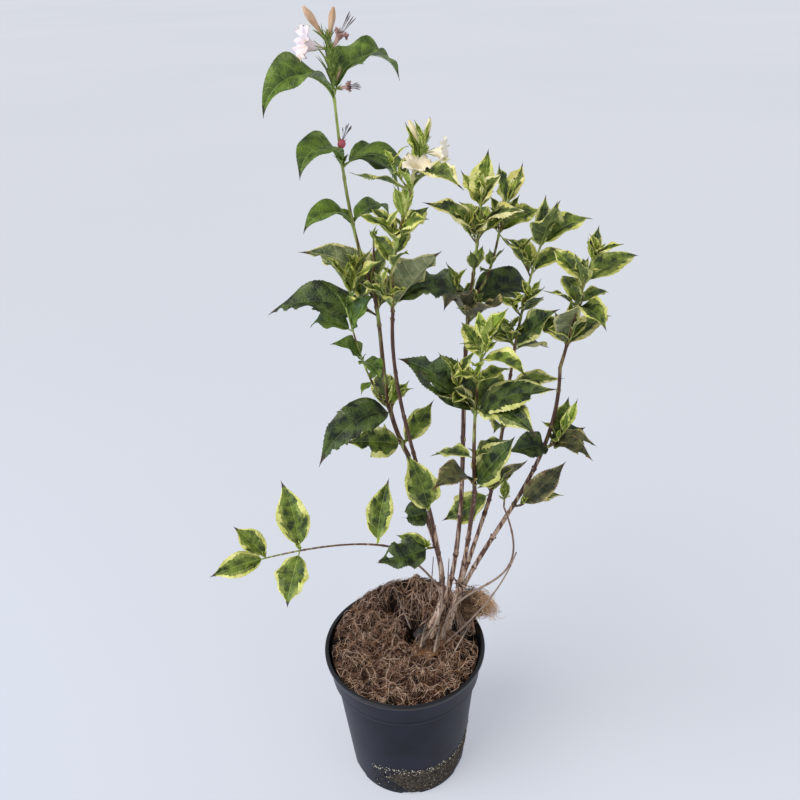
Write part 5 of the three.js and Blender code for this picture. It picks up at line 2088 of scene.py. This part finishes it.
@dataclass
class Blossom:
    """A flower or a bud, drawn about +Z from its foot and turned to its aim."""

    bloom: Bloom
    root: Array
    seed: int

    def corolla(self) -> Skin:
        """A funnel that opens into five frilled lobes, with an inner face just inside the outer.

        Radius = tube + flare * share^1.4, and the rim ends early between the lobes.

        Returns:
            The corolla.
        """
        length = self.bloom.length
        rng = np.random.default_rng(self.seed)
        angle = circle(60)
        lobe = np.abs(np.cos(2.5 * angle + rng.uniform(0, 1))) ** 0.5
        s = np.linspace(0, 1, 16)[:, None] * (1 - 0.3 * (1 - lobe))
        flare = rng.uniform(0.34, 0.42) * (1 + 0.12 * np.sin(2 * angle + rng.uniform(0, 6)))
        radius = length * (0.05 + 0.1 * smooth(0, 0.45, s) + flare * np.clip((s - 0.42) / 0.58, 0, 1) ** 1.4)
        frill = np.sin(11 * angle + rng.uniform(0, 6)) + 0.7 * np.sin(17 * angle + rng.uniform(0, 6))
        frill = frill * 0.045 * np.clip((s - 0.55) / 0.45, 0, 1)
        up = length * (0.2 + 0.78 * s - 0.22 * np.clip((s - 0.66) / 0.34, 0, 1) ** 2 + 1.4 * frill)
        radii = np.concatenate([radius, np.maximum(radius - 0.3, 0.4)[::-1]])
        heights = np.concatenate([up, up[::-1]])
        return revolved(radii, heights, 60)

    def bud(self) -> Skin:
        """A spindle with five soft ribs, fullest past its middle.

        Returns:
            The bud.
        """
        length = self.bloom.length
        angle = circle(30)
        s = np.linspace(0, 1, 18)[:, None]
        ribs = 1 + 0.08 * np.sin(5 * angle + s * 3)
        radius = length * (0.03 + 0.066 * np.sin(math.pi * s**1.6) ** 1.1) * ribs
        return revolved(radius, length * (0.2 + 0.8 * s) * np.ones_like(angle), 30)

    def shrunk(self) -> Skin:
        """A limp, creased tube, the open corolla drawn in to half its width.

        Returns:
            The tube.
        """
        skin = self.corolla()
        skin.points[:, :2] *= (0.45 + 0.1 * Ripple(self.seed, 2.0, 6.0)(skin.points))[:, None]
        return skin

    def knob(self) -> Skin:
        """The swollen seed tube that is left when the petals have dropped.

        Returns:
            The seed tube.
        """
        turn = np.linspace(-math.pi / 2 + 0.05, math.pi / 2 - 0.05, 10)
        size = self.bloom.length * 0.17
        return revolved(np.cos(turn) * size, self.bloom.length * 0.2 + np.sin(turn) * size * 1.2, 14)

    def calyx(self) -> Skin:
        """The green seed tube under the flower, with five narrow sepals that stand away.

        Returns:
            The calyx.
        """
        length = self.bloom.length
        t = np.linspace(0, 1, 6)
        path = np.stack([0 * t, 0 * t, t * length * 0.24], axis=1)
        swell = length * np.array([0.025, 0.03, 0.034, 0.04, 0.05, 0.03])
        tube = tubes(path[None], swell[None], 8)
        angle = circle(5)[:, None] + 0.3
        s = np.linspace(0, 1, 6)[None, :]
        away = length * (0.035 + 0.12 * s**1.4)
        up = length * (0.2 + 0.26 * s) * np.ones_like(angle)
        paths = about_z(away, angle, up)
        radii = np.broadcast_to(np.array([0.5, 0.62, 0.55, 0.42, 0.26, 0.1]), paths.shape[:2])
        return joined([tube, tubes(paths, radii, 4)])

    def stamens(self) -> Skin:
        """Six threads of uneven length out of the mouth, each with a swollen end.

        Returns:
            The stamens.
        """
        length = self.bloom.length
        rng = np.random.default_rng(self.seed + 5)
        angle = rng.uniform(0, 2 * math.pi, 6)[:, None]
        s = np.linspace(0, 1, 8)[None, :]
        stand = {"spent": 1.35, "bare": 1.0}.get(self.bloom.kind, 0.66)
        reach = rng.uniform(0.9, 1.1, 6)[:, None] * length * stand
        away = length * (0.03 + rng.uniform(0.04, 0.24, 6)[:, None] * s**2)
        up = 0.35 * length + (reach - 0.35 * length) * s
        paths = about_z(away, angle, up)
        radii = np.broadcast_to(np.array([0.2, 0.2, 0.18, 0.18, 0.18, 0.3, 0.5, 0.2]), paths.shape[:2])
        return tubes(paths, radii, 4)

    def parts(self) -> list[Skin]:
        """The bloom's skins: an open flower, a closed bud, a calyx whose flower has dropped, a spent
        flower whose petals have shrunk round its stamens, or a bare coloured seed tube.

        Returns:
            One skin a part.
        """
        shapes = {
            "flower": ((self.corolla, 0), (self.calyx, 1), (self.stamens, 6)),
            "bud": ((self.bud, 3), (self.calyx, 1)),
            "calyx": ((self.calyx, 1),),
            "spent": ((self.shrunk, 5), (self.calyx, 1), (self.stamens, 2)),
            "bare": ((self.knob, 4), (self.calyx, 4), (self.stamens, 2)),
        }
        skins = []
        direction = heading(self.bloom.bearing, self.bloom.rise)
        for shape, finish in shapes[self.bloom.kind]:
            skin = shape()
            skin.finish[:] = finish
            skin.points = aimed(skin.points, direction, self.root)
            skins.append(skin)
        return skins


# ---- Masses of foliage ----


@dataclass
class Foliage:
    """One mass of foliage: its shoots, leaves and blossom in place of its solid."""

    mass: Mass
    number: int
    axil_chance: float = 0.55
    tip_leaves: int = 4
    calyx_leaves: int = 8

    def tips(self, shoot: Shoot, seed: int) -> list[Leaf]:
        """Small young leaves by a seeded rule: a pair in the axils of some nodes and a tuft at
        the shoot's tip, each within the reach of the leaves beside it.

        Args:
            shoot: the shoot that bears them.
            seed: number that they follow from.

        Returns:
            The leaves.
        """
        rng = np.random.default_rng(seed)
        small = []
        for leaf in shoot.leaves:
            if leaf.reach > RULE.large and rng.uniform() < self.axil_chance:
                reach = rng.uniform(9, 17)
                bearing = leaf.bearing + rng.uniform(-35, 35)
                small.append(Leaf(leaf.at, bearing, rng.uniform(45, 72), reach, 20, 0, 0.36, YOUNG))
        for k in range(self.tip_leaves):
            bearing = 45 + 90 * k + rng.uniform(-25, 25)
            small.append(Leaf(0.985, bearing, rng.uniform(52, 78), rng.uniform(8, 16), 25, 0, 0.34, YOUNG))
        if shoot.blooms:
            for k in range(self.calyx_leaves):
                bearing = 45 * k + rng.uniform(-20, 20)
                at = rng.uniform(0.82, 0.99)
                small.append(Leaf(at, bearing, rng.uniform(62, 82), rng.uniform(14, 24), 15, 0, 0.2, YOUNG))
        return [replace(leaf, tint=PLAIN) for leaf in small] if self.mass.low is PLAIN else small

    def sprigs(self, shoot: Shoot, seed: int) -> list[Shoot]:
        """Side shoots by the same rule one size down: out of a leaf's axil, in its direction, with
        two or three crossed pairs of leaves, up to half as long as the one that they grow above.

        Args:
            shoot: the shoot that bears them.
            seed: number that they follow from.

        Returns:
            The side shoots.
        """
        rng = np.random.default_rng(seed)
        plain = self.mass.low is PLAIN
        made = []
        for leaf in shoot.leaves:
            draw = rng.uniform(size=16)
            if leaf.reach < RULE.large or draw[0] > self.mass.sprigs:
                continue
            start = bezier(shoot.way, np.array(leaf.at))
            ahead = heading(leaf.bearing + 60 * (draw[1] - 0.5), 42 + 26 * draw[2])
            span = ahead * leaf.reach * (0.2 + 0.24 * draw[3])
            lift = np.array([0, 0, leaf.reach * 0.03])
            way = tuple(tuple(start + span * k / 3 + lift * (k / 3) ** 2) for k in range(4))
            levels = ((0.5, 90, 30, 0.42), (0.97, 0, 56, 0.4), (0.99, 90, 68, 0.26))[: 2 + int(draw[4] < 0.5)]
            pairs = []
            for level, (at, spread, rise, size) in enumerate(levels):
                for k in range(2):
                    wobble = 40 * (draw[5 + 2 * level + k] - 0.5)
                    reach = leaf.reach * size * (0.7 + 0.6 * draw[11 + k])
                    bearing = leaf.bearing + spread + 180 * k + wobble
                    tint = PLAIN if plain else (MID, BRIGHT, YOUNG)[int(draw[13 + k] * 1.7 + level * 0.6)]
                    pairs.append(Leaf(at, bearing, rise + wobble / 2, reach, 40, 0, 0.36, tint))
            made.append(Shoot(way, (0.9, 0.6), tuple(pairs)))
        return made

    def grown(self) -> list[Shoot]:
        """The mass's shoots and the side shoots on them.

        Returns:
            The shoots.
        """
        shoots = list(self.mass.shoots)
        for k, shoot in enumerate(self.mass.shoots):
            shoots += self.sprigs(shoot, 700 * self.number + k)
        return shoots

    def leaf_skins(self) -> tuple[list[Skin], list[Tint]]:
        """Every leaf of the mass, its finishes numbered by the tints that the mass uses.

        Returns:
            One skin a leaf, and the tints in the order of their finishes.
        """
        mass = self.mass
        skins, tints = [], []
        for k, shoot in enumerate(self.grown()):
            seed = 10000 * self.number + 100 * k
            extra = self.tips(shoot, seed + 99) if k < len(mass.shoots) else []
            for j, leaf in enumerate((*shoot.leaves, *extra)):
                tint = leaf.tint or (mass.low if leaf.at < mass.change else mass.high)
                if tint not in tints:
                    tints.append(tint)
                root = bezier(shoot.way, np.array(min(leaf.at, 1.0)))
                skin = Blade(leaf, tint.value, root, seed + j).skin()
                skin.finish += len(Part) * tints.index(tint)
                skins.append(skin)
        return skins, tints

    def shoot_skins(self) -> Skin:
        """The mass's stems, each with a node at every pair of leaves.

        Returns:
            The stems and their buds.
        """
        skins = []
        for k, shoot in enumerate(self.grown()):
            nodes = sorted({round(leaf.at, 1) for leaf in shoot.leaves if leaf.at < 0.95})
            stem = Stem(
                shoot.way, shoot.radii, self.mass.ages, tuple(nodes), seed=self.number * 10 + k,
                sides=10, swell=0.35, ridges=0.03, buds=2.4,
            )
            skins.append(stem.skin())
        return joined(skins)

    def blossoms(self) -> list[Skin]:
        """Every flower and bud of the mass.

        Returns:
            The skins of their parts.
        """
        skins = []
        for shoot in self.mass.shoots:
            for j, bloom in enumerate(shoot.blooms):
                root = bezier(shoot.way, np.array(bloom.at))
                skins += Blossom(bloom, root, 100 * self.number + j).parts()
        return skins

    def build(self, looks: dict[Tint, list[Material]], bark: Material) -> list[Piece]:
        """The mass's pieces.

        Args:
            looks: the materials of each tint.
            bark: the shoots' bark.

        Returns:
            Leaves, shoots, and blossom where there is any.
        """
        mass = self.mass
        short = mass.name.removeprefix("leaves_")
        plain = mass.low is PLAIN
        slot = "green_leaves" if plain else "variegated_leaves"
        skins, tints = self.leaf_skins()
        finishes = [material for tint in tints for material in looks[tint]]
        leaves = make_piece(f"{short}_leaves", joined(skins), finishes)
        shoots = make_piece(f"{short}_shoots", self.shoot_skins(), [bark])
        pieces = [dress(leaves, slot, mass.name), dress(shoots, "cane_bark", mass.name)]
        flowers = self.blossoms()
        if flowers:
            petal, bud = (PETAL_BLUSH, BUD_PEACH) if plain else (PETAL_CREAM, BUD_CREAM)
            kinds = (petal, CALYX, ANTHER, bud, ROSE_CALYX, WITHERED, PALE_STAMEN)
            blossom = make_piece(f"{short}_blossom", joined(flowers), [f.material() for f in kinds])
            pieces.append(dress(blossom, "blossom", mass.name))
        return pieces


# ---- Studio ----


@dataclass
class Studio:
    """The pale floor, the soft light and the camera."""

    pitch: float = 29.775
    yaw: float = 0.449
    roll: float = 2.187
    place: Point = (0.0, -757.43, 1005.30)
    focal: float = 802.0
    frame: float = 800.0
    sensor: float = 36.0
    floor_reach: float = 30000.0
    aim: Point = (0.0, 0.0, 0.45)
    lamps: tuple[tuple[str, str, Point, float, float, Colour], ...] = (
        ("window", "SUN", (-1.7, -1.0, 2.8), 2.0, 44, (255, 251, 240)),
        ("fill", "AREA", (1.6, -1.6, 1.6), 10, 1.6, (226, 234, 255)),
        ("side", "AREA", (-1.9, -0.5, 0.7), 16, 1.2, (180, 204, 255)),
    )
    sky: Colour = (236, 240, 248)
    sky_strength: float = 0.6

    def camera(self) -> None:
        """A camera that looks down at the plant, with its focal length in pixels of the frame."""
        pitch, yaw, roll = (math.radians(v) for v in (self.pitch, self.yaw, self.roll))
        ahead = Vector((math.sin(yaw) * math.cos(pitch), math.cos(yaw) * math.cos(pitch), -math.sin(pitch)))
        level = Vector((math.cos(yaw), -math.sin(yaw), 0))
        below = ahead.cross(level)
        right = level * math.cos(roll) + below * math.sin(roll)
        down = below * math.cos(roll) - level * math.sin(roll)
        data = bpy.data.cameras.new("camera")
        data.sensor_width = self.sensor
        data.lens = self.sensor * self.focal / self.frame
        data.clip_end = 100
        camera = bpy.data.objects.new("camera", data)
        axes = Matrix((right, -down, -ahead)).transposed().to_4x4()
        camera.matrix_world = Matrix.Translation(Vector(self.place) * MM) @ axes
        bpy.context.scene.collection.objects.link(camera)
        bpy.context.scene.camera = camera

    def floor(self) -> None:
        """A pale floor that runs to the horizon."""
        far = np.linspace(-self.floor_reach, self.floor_reach, 41)
        x, y = np.meshgrid(far, far)
        skin = skin_of(np.stack([x, y, 0 * x], axis=-1), grid_faces(41, 41))
        cloth = PatchyFinish(
            "pale_floor", (162, 164, 169), (154, 157, 165), 0.3, 1.2, 0.9, 0.2, 60, 0.2, 0.05, glow=0.98
        )
        make_piece("floor", skin, [cloth.material()])

    def lamp(self, name: str, kind: str, place: Point, energy: float, size: float, colour: Colour) -> None:
        """A lamp that looks at the middle of the plant.

        Args:
            name: its name.
            kind: SUN or AREA.
            place: where it stands, in metres.
            energy: its strength.
            size: a sun's angle in degrees, or an area's side in metres.
            colour: its colour.
        """
        data = bpy.data.lights.new(name, kind)
        data.energy = energy
        data.color = linear(colour)[:3]
        if kind == "SUN":
            data.angle = math.radians(size)
        else:
            data.size = size
        lamp = bpy.data.objects.new(name, data)
        lamp.location = place
        aim = Vector(self.aim) - Vector(place)
        lamp.rotation_euler = aim.to_track_quat("-Z", "Y").to_euler()
        bpy.context.scene.collection.objects.link(lamp)

    def build(self) -> None:
        """Sets the camera, the floor, the lamps and the even light from all round."""
        self.camera()
        self.floor()
        for lamp in self.lamps:
            self.lamp(*lamp)
        world = bpy.data.worlds.new("daylight")
        world.use_nodes = True
        sky = world.node_tree.nodes["Background"]
        sky.inputs["Color"].default_value = linear(self.sky)
        sky.inputs["Strength"].default_value = self.sky_strength
        bpy.context.scene.world = world
        bpy.context.scene.view_settings.view_transform = "Standard"


def report(pieces: list[Piece]) -> None:
    """Logs each piece with its number of triangles.

    Args:
        pieces: the pieces.
    """
    for piece in pieces:
        triangles = sum(len(p.vertices) - 2 for p in piece.data.polygons)
        log.info("%s: %d triangles", piece.name, triangles)


def main() -> None:
    """Builds the studio, the pot and the plant in order, and reports each piece."""
    logging.basicConfig(level=logging.INFO, format="%(message)s")
    Studio().build()
    pot, crown = NurseryPot(), Crown()
    for assembly in (pot, PottingMix(pot, crown), FibreTuft(), crown, Canes(), DeadStubs()):
        report(assembly.build())
    looks = {tint: tint.value.materials() for tint in Tint}
    bark = CANE_BARK.material()
    for number, mass in enumerate(MASSES, start=1):
        report(Foliage(mass, number).build(looks, bark))


if __name__ == "__main__":
    main()
